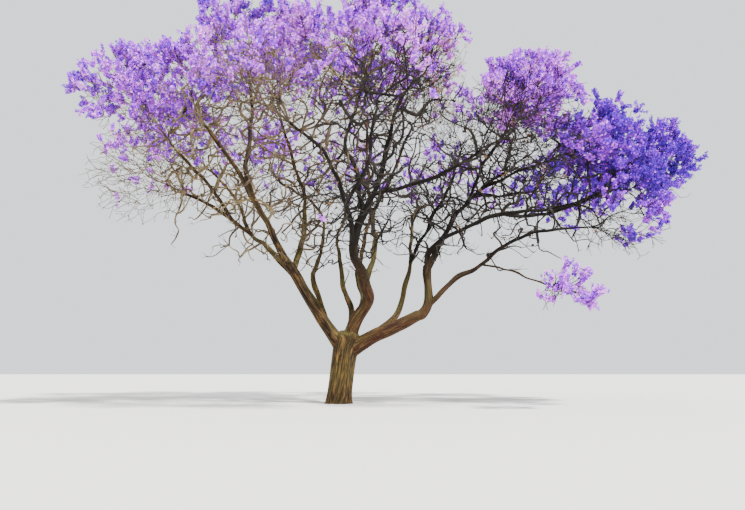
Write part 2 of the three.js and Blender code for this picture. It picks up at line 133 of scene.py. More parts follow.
# Value noise: every corner of a unit grid has a hashed number, and a place takes the smooth blend of the
# eight corners round it. Gives -1 to 1.
def gridNoise(points, seed):
    cell = np.floor(points).astype(np.int64)
    f = points - cell
    f = f * f * (3 - 2 * f)
    total = np.zeros(points.shape[:-1])
    for corner in range(8):
        step = np.array([corner & 1, corner >> 1 & 1, corner >> 2 & 1])
        key = ((cell + step) * np.array([374761393, 668265263, 974634777])).sum(-1) + seed * 1442695041
        key = ((key ^ (key >> 13)) * 1274126177) & 0x7FFFFFFF
        key = (key ^ (key >> 16)) & 0xFFFF
        total += key / 32767.5 * np.prod(np.where(step == 1, f, 1 - f), axis=-1)
    return total - 1


# Sway: every place moves by a smooth field of noise, so that limbs and twigs weave together as one.
sway = {"waves": [(2300, 80, 11), (1000, 80, 23), (480, 52, 37)], "stillBelow": 1400, "fullAbove": 4200}


def swayed(points):
    share = np.clip((points[..., 2] - sway["stillBelow"]) / (sway["fullAbove"] - sway["stillBelow"]), 0, 1)
    moved = points.copy()
    for wave, reach, seed in sway["waves"]:
        for axis in range(3):
            moved[..., axis] += share * reach * gridNoise(points / wave, seed + axis)
    return moved


# The limbs

trunk = {
    "height": 2150, "crown": 260, "lean": 280, "leanPower": 1.25, "radius": 395, "footFlare": 75,
    "footFlareHeight": 230, "forkSwell": 35, "fluteDepth": 0.07, "fluteCount": 5, "twist": 1500,
    "dome": 0.8, "beads": 5, "fineBeads": 60, "fineTop": 0.5, "rings": 110,
}

limbRule = {"clearance": 0.35, "collar": 0.22, "collarRun": 2.2, "beadStep": 60, "leadShare": 0.3,
            "entry": 0.82, "lengthSteps": 200}

# Each bough: its name, what it leaves, how far along, its two radii, and the points it passes.
boughRows = [
    ("left", "trunk", 0.8, (240, 160), [(-450, -200, 2600), (-1050, -400, 3600), (-1600, -600, 4550)]),
    ("right", "trunk", 0.76, (240, 175), [(1120, -200, 2170), (1880, -400, 2450), (2630, -500, 2840)]),
    ("centre", "trunk", 0.88, (225, 185), [(560, -200, 2680), (1010, -400, 3400), (880, -650, 4080)]),
    ("right_rise", "right", 1, (170, 135), [(2960, -500, 3350), (2970, -300, 4500)]),
    ("centre_rise", "centre", 1, (175, 120), [(600, -1150, 4800), (720, -1500, 5540), (1040, -1800, 6390)]),
    ("top_left", "left", 1, (130, 50), [(-2150, -1200, 5520), (-2750, -2500, 7000), (-2750, -2400, 8250)]),
    ("left_crest", "top_left", 0.5, (75, 45), [(-3600, -3100, 8050)]),
    ("top_back_left", "left", 0.93, (105, 50),
     [(-1310, 300, 5500), (-1400, 1300, 7400), (-2000, 2200, 9000)]),
    ("left_skirt", "left", 0.78, (110, 45), [(-2150, -200, 5000), (-3200, 600, 5850), (-4950, 1000, 7100)]),
    ("left_lobe", "left_skirt", 0.6, (75, 45), [(-4500, -500, 7400)]),
    ("left_back", "left_skirt", 0.5, (75, 45), [(-4200, 2600, 7600)]),
    ("back_left", "left", 0.3, (105, 45), [(-850, 500, 4200), (-800, 1500, 5300), (-900, 3000, 7200)]),
    ("back_centre", "trunk", 0.95, (125, 50), [(400, 600, 3100), (100, 1400, 4300), (-200, 3000, 6100)]),
    ("crown_centre", "trunk", 0.92, (115, 50), [(800, 700, 3500), (600, 1800, 4750), (1100, 2900, 7000)]),
    ("left_front", "centre_rise", 0.55, (85, 45), [(420, -2200, 6050), (-300, -3600, 7400)]),
    ("front_mid", "left_front", 0.35, (60, 42), [(900, -3900, 7000)]),
    ("right_front", "centre_rise", 1, (95, 45), [(1650, -2050, 6700), (3300, -2800, 7050)]),
    ("top_right", "centre_rise", 0.93, (95, 45),
     [(1350, -1900, 7150), (1730, -2100, 8600), (2150, -2200, 9900)]),
    ("top_mid", "top_right", 0.7, (55, 40), [(900, -2500, 9800)]),
    ("top", "centre_rise", 0.88, (80, 45), [(650, -1250, 7450), (250, -800, 8450), (600, -600, 10000)]),
    ("top_back", "centre", 0.92, (105, 50), [(1250, 400, 5300), (1000, 1800, 7200), (900, 3100, 9000)]),
    ("back_right", "right", 0.35, (120, 50), [(2000, 400, 3050), (2450, 1200, 4500), (2700, 3200, 7000)]),
    ("shoulder_back", "back_right", 0.55, (80, 45), [(3100, 1500, 6200), (3900, 2000, 7600)]),
    ("right_outer", "right_rise", 1, (100, 45),
     [(3750, -900, 5500), (5350, -1450, 6000), (7250, -1500, 6300)]),
    ("right_skirt", "right_rise", 0.12, (95, 42),
     [(3760, -650, 4020), (4650, -900, 4450), (5480, -1500, 5100), (6650, -2350, 5330)]),
    ("right_tip", "right_outer", 0.62, (70, 42), [(6800, -600, 6250), (8100, -300, 6600)]),
    ("right_inner", "right_rise", 0.97, (100, 50),
     [(3700, -500, 5900), (4400, 200, 6850), (5100, 800, 7500)]),
    ("right_back", "right_inner", 0.62, (70, 42), [(6100, 2300, 7700)]),
    ("right_shoulder", "right_inner", 0.75, (60, 42), [(6200, 0, 7900)]),
    ("right_crest", "right_inner", 0.55, (60, 42), [(4900, -400, 8000)]),
    ("right_drop", "right_skirt", 0.42, (42, 30), [(5300, -1900, 4150), (5800, -2900, 3750)]),
]

# Each mass: its name, how much of it is in blossom, its middle, its half sizes, and how deep the violet
# of its blossom is, from 0 (pale pinkish lilac) to 1 (blue violet). This is partly the blossom's own hue and
# partly painted
# light and shade: paler where the crown is sunlit, deeper where it is shaded.
massRows = [
    ("top_left", 1, (-3100, -1500, 11800), (2000, 2300, 1900), 0.43),
    ("left_crest", 0.95, (-4600, -3200, 9500), (1600, 2000, 1600), 0.5),
    ("left_lobe", 1, (-6300, -2700, 9400), (1800, 2200, 1700), 0.47),
    ("left_skirt", 0.5, (-7200, 700, 8000), (2100, 2200, 1900), 0.35),
    ("left_back", 0.95, (-6800, 3800, 10300), (2300, 2500, 2100), 0.5),
    ("left_front", 0.9, (-2300, -5600, 8700), (1950, 2000, 1700), 0.32),
    ("top_back_left", 0.95, (-2800, 2700, 12200), (2400, 2400, 1900), 0.5),
    ("back_left", 0.95, (-3900, 6200, 9900), (2500, 2100, 2200), 0.45),
    ("top_mid", 1, (-700, -1500, 11300), (1700, 2400, 1800), 0.42),
    ("top", 0.95, (1300, -400, 12750), (1700, 2300, 1900), 0.42),
    ("top_right", 0.8, (3000, -1600, 11100), (1500, 2200, 1850), 0.36),
    ("top_back", 0.9, (900, 3600, 12200), (2400, 2400, 1900), 0.45),
    ("crown_centre", 0.5, (3000, 2000, 11200), (1700, 1700, 1700), 0.35),
    ("back_centre", 0.95, (200, 6600, 9500), (2400, 2100, 2200), 0.45),
    ("front_mid", 0.9, (1300, -6400, 8600), (2100, 1900, 1700), 0.3),
    ("right_front", 0.85, (5300, -5000, 7700), (2100, 2100, 1800), 0.45),
    ("shoulder_back", 0.9, (5000, 3900, 10900), (2100, 2200, 1900), 0.45),
    ("back_right", 0.95, (4500, 6500, 8900), (2400, 2000, 2100), 0.5),
    ("right_crest", 0.95, (6300, -1400, 9850), (1750, 2200, 1650), 0.3),
    ("right_shoulder", 1, (8200, -1300, 8400), (1800, 2200, 1450), 0.68),
    ("right_inner", 0.6, (7000, 1900, 9200), (2000, 1900, 1700), 0.55),
    ("right_back", 0.95, (9000, 3900, 8300), (2300, 2300, 1800), 0.74),
    ("right_outer", 0.9, (9400, -1400, 7100), (1500, 2000, 1300), 0.8),
    ("right_tip", 1, (10800, 0, 7900), (1600, 2100, 1700), 0.86),
    ("right_skirt", 0.6, (8700, -2600, 5500), (1600, 1600, 1200), 0.62),
    ("right_drop", 1, (6550, -4000, 3250), (1050, 1000, 850), 0.25),
]

masses = {}
for name, bloom, middle, half, depth in massRows:
    masses[name] = {"name": name, "bloom": bloom, "middle": np.array(middle, float), "violet": depth,
                    "half": np.array(half, float), "size": sum(half) / 3, "index": len(masses)}


# How far out points lie in a mass: 0 at its middle, 1 on its surface less some room.
def shellOf(mass, points, room):
    return np.linalg.norm((points - mass["middle"]) / (mass["half"] - room), axis=-1)


def trunkMiddle(height):  # leans by a power of the height
    share = np.minimum(height / trunk["height"], 1)
    lean = trunk["lean"] * share ** trunk["leanPower"]
    return np.stack([lean, 0 * lean, height + 0 * lean], axis=-1)


def trunkGirth(height):  # the girth, the root flare and the swelling under the fork
    flare = trunk["footFlare"] * np.exp(-height / trunk["footFlareHeight"])
    return trunk["radius"] + flare + trunk["forkSwell"] * np.minimum(height / trunk["height"], 1) ** 3


def limbRadius(limb, along):  # even taper, with a collar that dies away from the foot
    foot, end = limb["radii"]
    swelling = limbRule["collar"] * foot if limb["at"] < 1 else 0
    away = along * limb["length"] / (limbRule["collarRun"] * foot)
    return foot + (end - foot) * along + swelling * np.exp(-away)


def placeBeads(limb):  # balls along a limb that stand for it in the distance tests
    count = math.ceil(limb["length"] / limbRule["beadStep"])
    along = np.arange(count + 1) / count
    limb["beads"] = splineAt(limb["points"], along)
    limb["beadRadii"] = limbRadius(limb, along)
    limb["beadRuns"] = along * limb["length"]


# Each limb starts on what it leaves. One that goes on from an end sets off along that end's heading, by
# a share of its first chord.
def setLimbs():
    heights = trunk["height"] * np.arange(trunk["beads"] + 1) / trunk["beads"]
    stem = {"name": "trunk", "at": 0, "points": trunkMiddle(heights), "length": trunk["height"]}
    fine = np.linspace(0, trunk["height"] + trunk["fineTop"] * trunk["crown"], trunk["fineBeads"])
    stem["beads"], stem["beadRadii"], stem["beadRuns"] = trunkMiddle(fine), trunkGirth(fine), fine
    stem["coarse"] = (trunkMiddle(heights), trunkGirth(heights))
    limbs = {"trunk": stem}
    for name, source, at, radii, way in boughRows:
        parent = limbs[source]
        points = [np.array(point, float) for point in way]
        start = splineAt(parent["points"], np.array([at]))[0]
        if at == 1:
            heading = splineHeading(parent["points"], np.array([1.0]))[0]
            start = start + limbRule["clearance"] * heading
            lead = limbRule["leadShare"] * np.linalg.norm(points[0] - start)
            points.insert(0, start + lead * heading)
        if name in masses:  # runs on to where it enters its mass
            mass = masses[name]
            share = min(limbRule["entry"] / shellOf(mass, points[-1], 0), 1)
            points.append(mass["middle"] + share * (points[-1] - mass["middle"]))
        points = np.array([start, *points])
        chords = splineAt(points, np.linspace(0, 1, limbRule["lengthSteps"] + 1))
        length = np.linalg.norm(np.diff(chords, axis=0), axis=1).sum()
        limb = {"name": name, "at": at, "radii": radii, "points": points, "length": length}
        placeBeads(limb)
        limb["coarse"] = (limb["beads"], limb["beadRadii"])
        limbs[name] = limb
    return limbs


limbs = setLimbs()
beadPlaces = np.vstack([limb["coarse"][0] for limb in limbs.values()])
beadSizes = np.concatenate([limb["coarse"][1] for limb in limbs.values()])
print("limbs set:", len(limbs))

# Growth of the masses

growth = {
    "firstSeed": 4107, "sprayBase": 250, "sprayShare": 0.42, "sprayWidth": 0.7, "sprayThick": 0.4,
    "sprayRoot": 0.32, "sprayAside": 0.1, "twigBase": 3, "twigsPerSquareMetre": 2.2, "tries": 7,
    "drawLimit": 60, "shortestDraw": 0.1, "spraySizes": (1, 0.82, 0.66, 0.5), "headingShare": 0.7,
    "sprayRise": 0.35, "sprayShell": 1.06, "innerShell": 0.3, "lift": 0.22, "stemShare": 0.4,
    "balance": 0.35, "turnCost": 0.22, "joinTries": 6, "elbowFrom": 1300, "wander": 0.14,
    "thinning": 0.42, "stemTaper": 0.85, "room": 40, "drawRoom": 0.4, "limbRoom": 15, "cellRoom": 12,
    "seedStep": 31, "turnOff": 1.5,
}

# The finer growth: ends crowd round the sprays, the rest are spread through the mass.
finer = {
    "perSpray": 22, "sprayReach": 1.3, "perCubicMetre": 6, "joinTries": 5, "room": 20, "step": 430,
    "turnCost": 0.5, "leastRadius": 10, "spreadInner": 0.12, "curl": 0.75, "bareExtra": 2.2,
    "drawTimes": 6, "ballPower": 0.45, "ballShape": (0.72, 0.95, 0.5), "nodeRoom": 40, "keepWay": 1,
    "turnOff": 1.6, "collar": 1.25, "mostShare": 0.8,
    "thicket": {"left_skirt": 2.2, "left_front": 1.6, "crown_centre": 0.5, "right_inner": 0.8,
                "top_right": 0.8},
}


# Least distance from points to the planes between a mass's space and the others'. Each plane is where the
# squared distances to two middles, less the squared sizes, are equal.
def cellDepth(mass, points):
    toOwn = ((points - mass["middle"]) ** 2).sum(-1) - mass["size"] ** 2
    gaps = points[..., None, :] - mass["otherMiddles"]
    toOther = (gaps**2).sum(-1) - mass["otherSizes"] ** 2
    return ((toOther - toOwn[..., None]) / (2 * mass["between"])).min(-1)


def fits(mass, points, room):  # inside the mass and its own space, with room
    return (shellOf(mass, points, room) < 1) & (cellDepth(mass, points) > room + growth["cellRoom"])


# Whether straight stretches of some radius lie clear of the limbs near a mass.
def clearOfLimbs(mass, starts, ends, radius):
    beads, radii = mass["beads"]
    if len(beads) == 0:
        return np.ones(len(starts), bool)
    way = (ends - starts)[:, None, :]
    share = ((beads - starts[:, None, :]) * way).sum(-1) / np.maximum((way**2).sum(-1), 1e-9)
    nearest = starts[:, None, :] + np.clip(share, 0, 1)[..., None] * way
    gaps = np.linalg.norm(beads - nearest, axis=-1)
    return (gaps > radii + radius + growth["limbRoom"]).all(1)


def surround(mass):  # the neighbours and the limbs' beads that a mass keeps clear of
    others = [one for one in masses.values() if one is not mass]
    mass["otherMiddles"] = np.array([one["middle"] for one in others])
    mass["otherSizes"] = np.array([one["size"] for one in others])
    mass["between"] = np.linalg.norm(mass["otherMiddles"] - mass["middle"], axis=1)
    mass["spray"] = growth["sprayBase"] + growth["sprayShare"] * mass["size"]
    near = np.linalg.norm(beadPlaces - mass["middle"], axis=1) < mass["half"].max() + mass["spray"]
    mass["beads"] = (beadPlaces[near], beadSizes[near])


# A way drawn in a ball and lifted a little; the depth is a square root, so most points lie far out.
def drawPoint(mass, draw, room):
    for attempt in range(growth["drawLimit"]):
        away = np.array([2 * draw() - 1, 2 * draw() - 1, 2 * draw() - 1])
        depth = growth["innerShell"] + (1 - growth["innerShell"]) * math.sqrt(draw())
        length = np.linalg.norm(away)
        if length > 1 or length < growth["shortestDraw"]:
            continue
        away = unit(unit(away) + growth["lift"] * up) * depth
        point = mass["middle"] + (mass["half"] - room) * away
        if fits(mass, point, room * growth["drawRoom"]):
            return point
    return None


# Twig ends spread through a mass: each is the loneliest of a few draws.
def scatter(mass, draw):
    room = mass["spray"] * (1 - growth["sprayRoot"])
    count = round(growth["twigBase"] + growth["twigsPerSquareMetre"] * (mass["size"] / 1000) ** 2)
    places, bends, chances = [], [], []
    for i in range(count):
        best, loneliest = None, -1
        for attempt in range(growth["tries"]):
            point = drawPoint(mass, draw, room)
            if point is None:
                continue
            gap = min((np.linalg.norm(place - point) for place in places), default=math.inf)
            if gap > loneliest:
                best, loneliest = point, gap
        bend = np.array([draw() - 0.5, draw() - 0.5, draw() - 0.5])
        chance = draw()
        if best is not None:
            places.append(best)
            bends.append(bend)
            chances.append(chance)
    return np.array(places), np.array(bends), np.array(chances)


def newTree(place, heading, room):  # nodes as arrays, the first one set
    tree = {"count": 1, "place": np.zeros((room, 3)), "heading": np.zeros((room, 3)), "run": np.zeros(room),
            "parent": np.full(room, -1), "elbow": np.zeros((room, 3)), "bent": np.zeros(room, bool),
            "end": np.full(room, -1)}
    tree["place"][0], tree["heading"][0] = place, heading
    return tree


# One more node; its elbow is where its stretch bends, and its end is the number of the end it reached.
def addNodeTo(tree, place, heading, run, parent, elbow=None, end=-1):
    i = tree["count"]
    tree["place"][i], tree["heading"][i], tree["run"][i], tree["parent"][i] = place, heading, run, parent
    tree["elbow"][i] = place if elbow is None else elbow
    tree["bent"][i] = elbow is not None
    tree["end"][i] = end
    tree["count"] += 1
    return i


# The nodes that an end may leave: the way and the length from each, and the few where the length, the way
# back and the turn together cost least.
def nearNodes(tree, end, rule):
    n = tree["count"]
    way = end - tree["place"][:n]
    length = np.maximum(np.linalg.norm(way, axis=1), 1)
    turn = 1 - (way * tree["heading"][:n]).sum(1) / length
    cost = length + growth["balance"] * tree["run"][:n] + rule["turnCost"] * turn * length
    return way, length, np.argsort(cost, kind="stable")[: rule["joinTries"]]


# Ends are taken outwards from the root. Each leaves the cheapest node from which its stretch is clear.
def joinEnds(mass, tree, ends, bends, rule):
    root = tree["place"][0]
    for k in np.argsort(np.linalg.norm(ends - root, axis=1), kind="stable"):
        way, length, ranked = nearNodes(tree, ends[k], rule)
        long = length[ranked] > growth["elbowFrom"]
        side = acrossFrom(np.tile(bends[k], (len(ranked), 1)), unit(way[ranked]))
        aside = np.where(long, 2 * growth["wander"] * length[ranked], 0)[:, None]
        elbows = (tree["place"][ranked] + ends[k]) / 2 + aside * side
        clear = fits(mass, elbows, rule["room"])
        clear &= clearOfLimbs(mass, tree["place"][ranked], elbows, rule["room"])
        clear &= clearOfLimbs(mass, elbows, np.tile(ends[k], (len(ranked), 1)), rule["room"])
        if not clear.any():
            continue
        best = np.argmax(clear)
        parent, elbow = ranked[best], elbows[best]
        run = tree["run"][parent] + length[parent]
        addNodeTo(tree, ends[k], unit(ends[k] - elbow), run, parent, elbow if long[best] else None, k)


def countTips(tree, carriers=0):  # the ends that each node bears; the first nodes may be the boughs' own
    n = tree["count"]
    tips = np.ones(n)
    for i in range(n - 1, max(carriers, 1) - 1, -1):
        tips[tree["parent"][i]] += tips[i]
    return tips


# Where the solids' sprays lie: middle, three axes and three full sizes. The largest that fits is taken.
def sprayAt(mass, place, heading, outwards):
    way = unit(growth["headingShare"] * heading + outwards + growth["sprayRise"] * up)
    turnAxis = np.array([-way[1], way[0], 0.0])
    w = 1 + way[2]
    turn = np.array([  # turns up to the way by the shortest way round
        [w - turnAxis[1] ** 2, turnAxis[0] * turnAxis[1], w * way[0]],
        [turnAxis[0] * turnAxis[1], w - turnAxis[0] ** 2, w * way[1]],
        [-w * way[0], -w * way[1], w * way[2]],
    ]) / w
    tips = np.vstack([np.eye(3), -np.eye(3)]) / 2
    beads, radii = mass["beads"]
    for share in growth["spraySizes"]:
        size = share * mass["spray"] * np.array([growth["sprayWidth"], growth["sprayThick"], 1])
        shift = np.array([-growth["sprayAside"], -growth["sprayAside"], 0.5 - growth["sprayRoot"]]) * size
        middle = place + turn @ shift
        corners = middle + (tips * size) @ turn.T
        inside = (shellOf(mass, corners, 0) < growth["sprayShell"]).all()
        inside &= (cellDepth(mass, corners) > growth["cellRoom"]).all()
        slope = 2 * np.linalg.norm(1 / size)
        outside = 2 * np.abs(((beads - middle) @ turn) / size).sum(1) - 1
        if inside and (outside / slope > radii + growth["limbRoom"]).all():
            return middle, turn, size
    return None


# The solids' own few twigs of a mass, and the places of its sprays.
def growCoarse(mass):
    draw = seededRun(growth["firstSeed"] + growth["seedStep"] * mass["index"])
    carrier = limbs[mass["name"]]
    heading = splineHeading(carrier["points"], np.array([1.0]))[0]
    start = carrier["points"][-1] + limbRule["clearance"] * heading
    place = start + growth["stemShare"] * (mass["middle"] - start)
    ends, bends, chances = scatter(mass, draw)
    tree = newTree(place, heading, len(ends) + 1)
    joinEnds(mass, tree, ends, bends, growth)
    sprays = []
    for i in range(1, tree["count"]):
        if chances[tree["end"][i]] < mass["bloom"]:
            outwards = unit(tree["place"][i] - place)
            spray = sprayAt(mass, tree["place"][i], tree["heading"][i], outwards)
            if spray:
                sprays.append(spray)
    return start, heading, tree, sprays


# The heading with which the wood passes each node: between the way in and the way on to the heaviest twig.
def passingWays(tree, tips):
    n = tree["count"]
    parent = tree["parent"][:n]
    heir = np.full(n, -1)
    for i in range(1, n):
        j = parent[i]
        if heir[j] < 0 or tips[i] > tips[heir[j]]:
            heir[j] = i
    place = tree["place"][:n]
    incoming = place - place[np.maximum(parent, 0)]
    incoming[0] = tree["heading"][0]
    onward = np.where((heir >= 0)[:, None], place[np.maximum(heir, 0)] - place, incoming)
    return unit(unit(incoming) + unit(onward)), heir


# The few twigs of a mass, cut into short stretches along smooth curves that finer twigs can leave.
def skeletonOf(start, heading, tree, room):
    ways, heir = passingWays(tree, countTips(tree))
    fine = newTree(start, heading, room)
    where = {0: 0}  # the fine node at each coarse one
    legs = [(start, tree["place"][0], heading, ways[0], 0, 0)]
    for i in range(1, tree["count"]):
        parent = tree["parent"][i]
        begin, finish = tree["place"][parent], tree["place"][i]
        straight = unit(finish - begin)
        leaving = ways[parent] if heir[parent] == i else unit(ways[parent] + growth["turnOff"] * straight)
        if tree["bent"][i]:
            legs.append((begin, tree["elbow"][i], leaving, straight, parent, None))
            legs.append((tree["elbow"][i], finish, straight, ways[i], None, i))
        else:
            legs.append((begin, finish, leaving, ways[i], parent, i))
    for begin, finish, leaving, arriving, source, target in legs:
        count = max(1, round(np.linalg.norm(finish - begin) / finer["step"]))
        last = last if source is None else where[source]
        for point in hermite(begin, finish, leaving, arriving, np.arange(1, count + 1) / count):
            gap = point - fine["place"][last]
            last = addNodeTo(fine, point, unit(gap), fine["run"][last] + np.linalg.norm(gap), last)
        if target is not None:
            where[target] = last
    return fine


# The ends of the finer twigs, and which of them are a spray's.
def drawFine(mass, sprays, random):
    pools = []
    number = 2 * finer["perSpray"]
    for middle, turn, size in sprays:  # inside a ball stretched to the spray's own proportions
        ball = unit(random.normal(size=(number, 3))) * random.random((number, 1)) ** finer["ballPower"]
        points = middle + (ball * size * finer["ballShape"] * finer["sprayReach"]) @ turn.T
        pools.append(points[fits(mass, points, finer["room"])][: finer["perSpray"]])
    volume = 4 / 3 * math.pi * np.prod(mass["half"] / 1000)
    count = finer["perCubicMetre"] * volume * (1 + finer["bareExtra"] * (1 - mass["bloom"]))
    count = round(count * finer["thicket"].get(mass["name"], 1))
    number = finer["drawTimes"] * count
    ball = unit(unit(random.normal(size=(number, 3))) + growth["lift"] * up)
    ball *= finer["spreadInner"] + (1 - finer["spreadInner"]) * np.sqrt(random.random((number, 1)))
    points = mass["middle"] + ball * mass["half"]
    pools.append(points[fits(mass, points, finer["room"])][:count])
    ofSpray = np.concatenate([np.full(len(pool), k < len(sprays)) for k, pool in enumerate(pools)])
    return np.vstack(pools), ofSpray


def stretchSet(starts, ends, leaving, arriving, radii):  # radii: one pair for all, or a pair for each
    radii = np.broadcast_to(np.array(radii, float), (len(starts), 2))
    return dict(zip(tubeFields, (starts, ends, leaving, arriving, radii)))


# The stretches between a tree's nodes. The one that carries its parent on keeps its way and girth; any
# other turns off, and starts with a small collar.
def twigsOf(tree, ways, heir, girth, rule, carriers=0):
    child = np.arange(max(carriers, 1), tree["count"])
    parent = tree["parent"][child]
    onward = (heir[parent] == child) & (parent >= carriers)
    straight = unit(tree["place"][child] - tree["place"][parent])
    turned = unit(rule["keepWay"] * ways[parent] + rule["turnOff"] * straight)
    leaving = np.where(onward[:, None], ways[parent], turned)
    aside = np.minimum(girth[child] * rule["collar"], rule["mostShare"] * girth[parent])
    radii = np.stack([np.where(onward, girth[parent], aside), girth[child]], axis=1)
    return child, stretchSet(tree["place"][parent], tree["place"][child], leaving, ways[child], radii)


# The solids' few twigs, then finer ones to the drawn ends. Girth is a power of the tips that a stretch
# bears, and each way strays by a random vector.
def growMass(mass):
    surround(mass)
    start, heading, coarse, sprays = growCoarse(mass)
    random = np.random.RandomState(growth["firstSeed"] + mass["index"])
    ends, ofSpray = drawFine(mass, sprays, random)
    tree = skeletonOf(start, heading, coarse, len(ends) + finer["nodeRoom"] * (coarse["count"] + 2))
    joinEnds(mass, tree, ends, np.zeros_like(ends), finer)
    tips = countTips(tree)
    ways, heir = passingWays(tree, tips)
    ways[1:] = unit(ways[1:] + finer["curl"] * random.normal(size=(len(ways) - 1, 3)))
    foot = limbs[mass["name"]]["radii"][1]
    girth = foot * growth["stemTaper"] * (tips / tips[0]) ** growth["thinning"]
    girth = np.maximum(finer["leastRadius"], girth)
    girth[0] = foot
    child, mass["twigs"] = twigsOf(tree, ways, heir, girth, finer)
    end = tree["end"][child]
    mass["root"] = coarse["place"][0]
    mass["sprayCount"] = len(sprays)
    mass["isFine"] = end >= 0
    mass["nearSpray"] = mass["isFine"] & ofSpray[np.maximum(end, 0)]
    mass["isTip"] = tips[child] == 1


for mass in masses.values():
    growMass(mass)
print("masses grown:", sum(len(mass["isTip"]) for mass in masses.values()), "twig stretches,",
      sum(mass["sprayCount"] for mass in masses.values()), "sprays")

# Twigs that leave the boughs themselves, inside the crown: mostly bare.
inner = {
    "perMetre": 44, "reach": 2000, "fromHeight": 4300, "fullHeight": 7000, "fromAlong": 0.2, "lift": 0.25,
    "cube": 560, "perCube": 1, "leastGap": 60, "nodeStep": 600, "turnCost": 0.35, "joinTries": 4, "room": 25,
    "testShares": (0.45, 1, 5), "leastRadius": 17, "growRadius": 0.5, "curl": 0.95, "keepWay": 0.8,
    "turnOff": 1.6, "collar": 1.2, "mostShare": 0.5, "seed": 77, "root": (700, 0, 4500), "violet": 0.15,
}

boughs = [limb for limb in limbs.values() if limb["name"] != "trunk"]


def evened(points, random):  # keeps at most so many points in each cube of space
    points = points[random.permutation(len(points))]
    cubes = np.floor(points / inner["cube"]).astype(np.int64)
    which = np.unique(cubes, axis=0, return_inverse=True)[1].ravel()
    order = np.argsort(which, kind="stable")
    counts = np.bincount(which)
    ranks = np.empty(len(points), int)
    ranks[order] = np.arange(len(points)) - np.repeat(np.cumsum(counts) - counts, counts)
    return points[ranks < inner["perCube"]]


def boughNodes():  # where inner twigs may leave the boughs: places, headings and girths
    nodes = []
    for limb in boughs:
        along = np.linspace(inner["fromAlong"], 1, max(2, round(limb["length"] / inner["nodeStep"])))
        nodes.append((splineAt(limb["points"], along), splineHeading(limb["points"], along),
                      limbRadius(limb, along)))
    return map(np.concatenate, zip(*nodes))


def innerEnds():  # ends round the boughs, more of them higher up; those nearest to the wood come first
    random = np.random.RandomState(inner["seed"])
    pools = []
    for limb in boughs:
        number = round(inner["perMetre"] * limb["length"] * (1 - inner["fromAlong"]) / 1000)
        spots = random.uniform(inner["fromAlong"], 1, number)
        away = unit(unit(random.normal(size=(number, 3))) + inner["lift"] * up)
        away *= inner["reach"] * np.sqrt(random.random((number, 1)))
        points = splineAt(limb["points"], spots) + away
        share = (points[:, 2] - inner["fromHeight"]) / (inner["fullHeight"] - inner["fromHeight"])
        pools.append(points[random.random(number) < share])
    ends = evened(np.concatenate(pools), random)
    apart = (np.sqrt(((ends[:, None] - beadPlaces) ** 2).sum(-1)) - beadSizes).min(1)
    order = np.argsort(apart, kind="stable")
    return ends[order][apart[order] > inner["leastGap"]]


def growInner():  # the ends join by the masses' rule to nodes on the boughs
    places, headings, girths = boughNodes()
    ends = innerEnds()
    base = len(places)
    tree = newTree(places[0], headings[0], base + len(ends))
    tree["place"][:base], tree["heading"][:base], tree["count"] = places, headings, base
    for end in ends:
        way, length, ranked = nearNodes(tree, end, inner)
        for parent in ranked:
            samples = tree["place"][parent] + np.linspace(*inner["testShares"])[:, None] * way[parent]
            gaps = np.linalg.norm(samples[:, None] - beadPlaces, axis=-1) - beadSizes
            if gaps.min() > inner["room"]:
                addNodeTo(tree, end, unit(way[parent]), tree["run"][parent] + length[parent], parent)
                break
    return tree, girths


# The same for the inner twigs, whose radius is a power of the tips that they bear.
def innerTwigs():
    tree, girths = growInner()
    base = len(girths)
    tips = countTips(tree, base)
    ways, heir = passingWays(tree, tips)
    ways = unit(ways + inner["curl"] * np.random.RandomState(inner["seed"] + 1).normal(size=ways.shape))
    ways[:base] = tree["heading"][:base]
    radius = inner["leastRadius"] * tips ** inner["growRadius"]
    radius[:base] = girths
    child, twigs = twigsOf(tree, ways, heir, radius, inner, base)
    return {"name": "inside", "index": len(masses), "root": np.array(inner["root"], float),
            "violet": inner["violet"], "twigs": twigs, "isTip": tips[child] == 1,
            "isFine": np.ones(len(child), bool), "nearSpray": np.zeros(len(child), bool)}


inside = innerTwigs()
print("inner twigs:", len(inside["isTip"]))

# Meshes from arrays


# Closed tubes from rings of points: four-sided faces between the rings, and one face over each end.
def tubeFaces(points):
    tubes, rings, sides = points.shape[:3]
    corner = np.arange(tubes * rings * sides).reshape(tubes, rings, sides)
    here, beyond = corner[:, :-1], corner[:, 1:]
    quads = np.stack([here, np.roll(here, -1, 2), np.roll(beyond, -1, 2), beyond], axis=-1).reshape(-1, 4)
    return points.reshape(-1, 3), [quads, np.vstack([corner[:, 0, ::-1], corner[:, -1]])]


# Rings of points round middle lines: regular polygons square to them.
def ringsRound(middles, ways, radii, sides):
    first, second = squareTo(ways)
    angle = 2 * math.pi * np.arange(sides) / sides
    ring = np.cos(angle)[:, None] * first[..., None, :] + np.sin(angle)[:, None] * second[..., None, :]
    return middles[..., None, :] + radii[..., None, None] * ring


# Stretches as tubes, all at once: each middle line is a cubic between two places, and the radius runs
# evenly from the foot's to the tip's.
def tubeArrays(stretches, sides, rings):
    starts, ends, leaving, arriving, radii = (stretches[field] for field in tubeFields)
    shares = np.linspace(0, 1, rings + 1)
    middles = hermite(starts, ends, leaving, arriving, shares)
    radius = radii[:, :1] + (radii[:, 1:] - radii[:, :1]) * shares
    return tubeFaces(ringsRound(middles, unit(np.gradient(middles, axis=1)), radius, sides))


def placed(name, data):  # a new object at the origin
    thing = bpy.data.objects.new(name, data)
    bpy.context.scene.collection.objects.link(thing)
    return thing


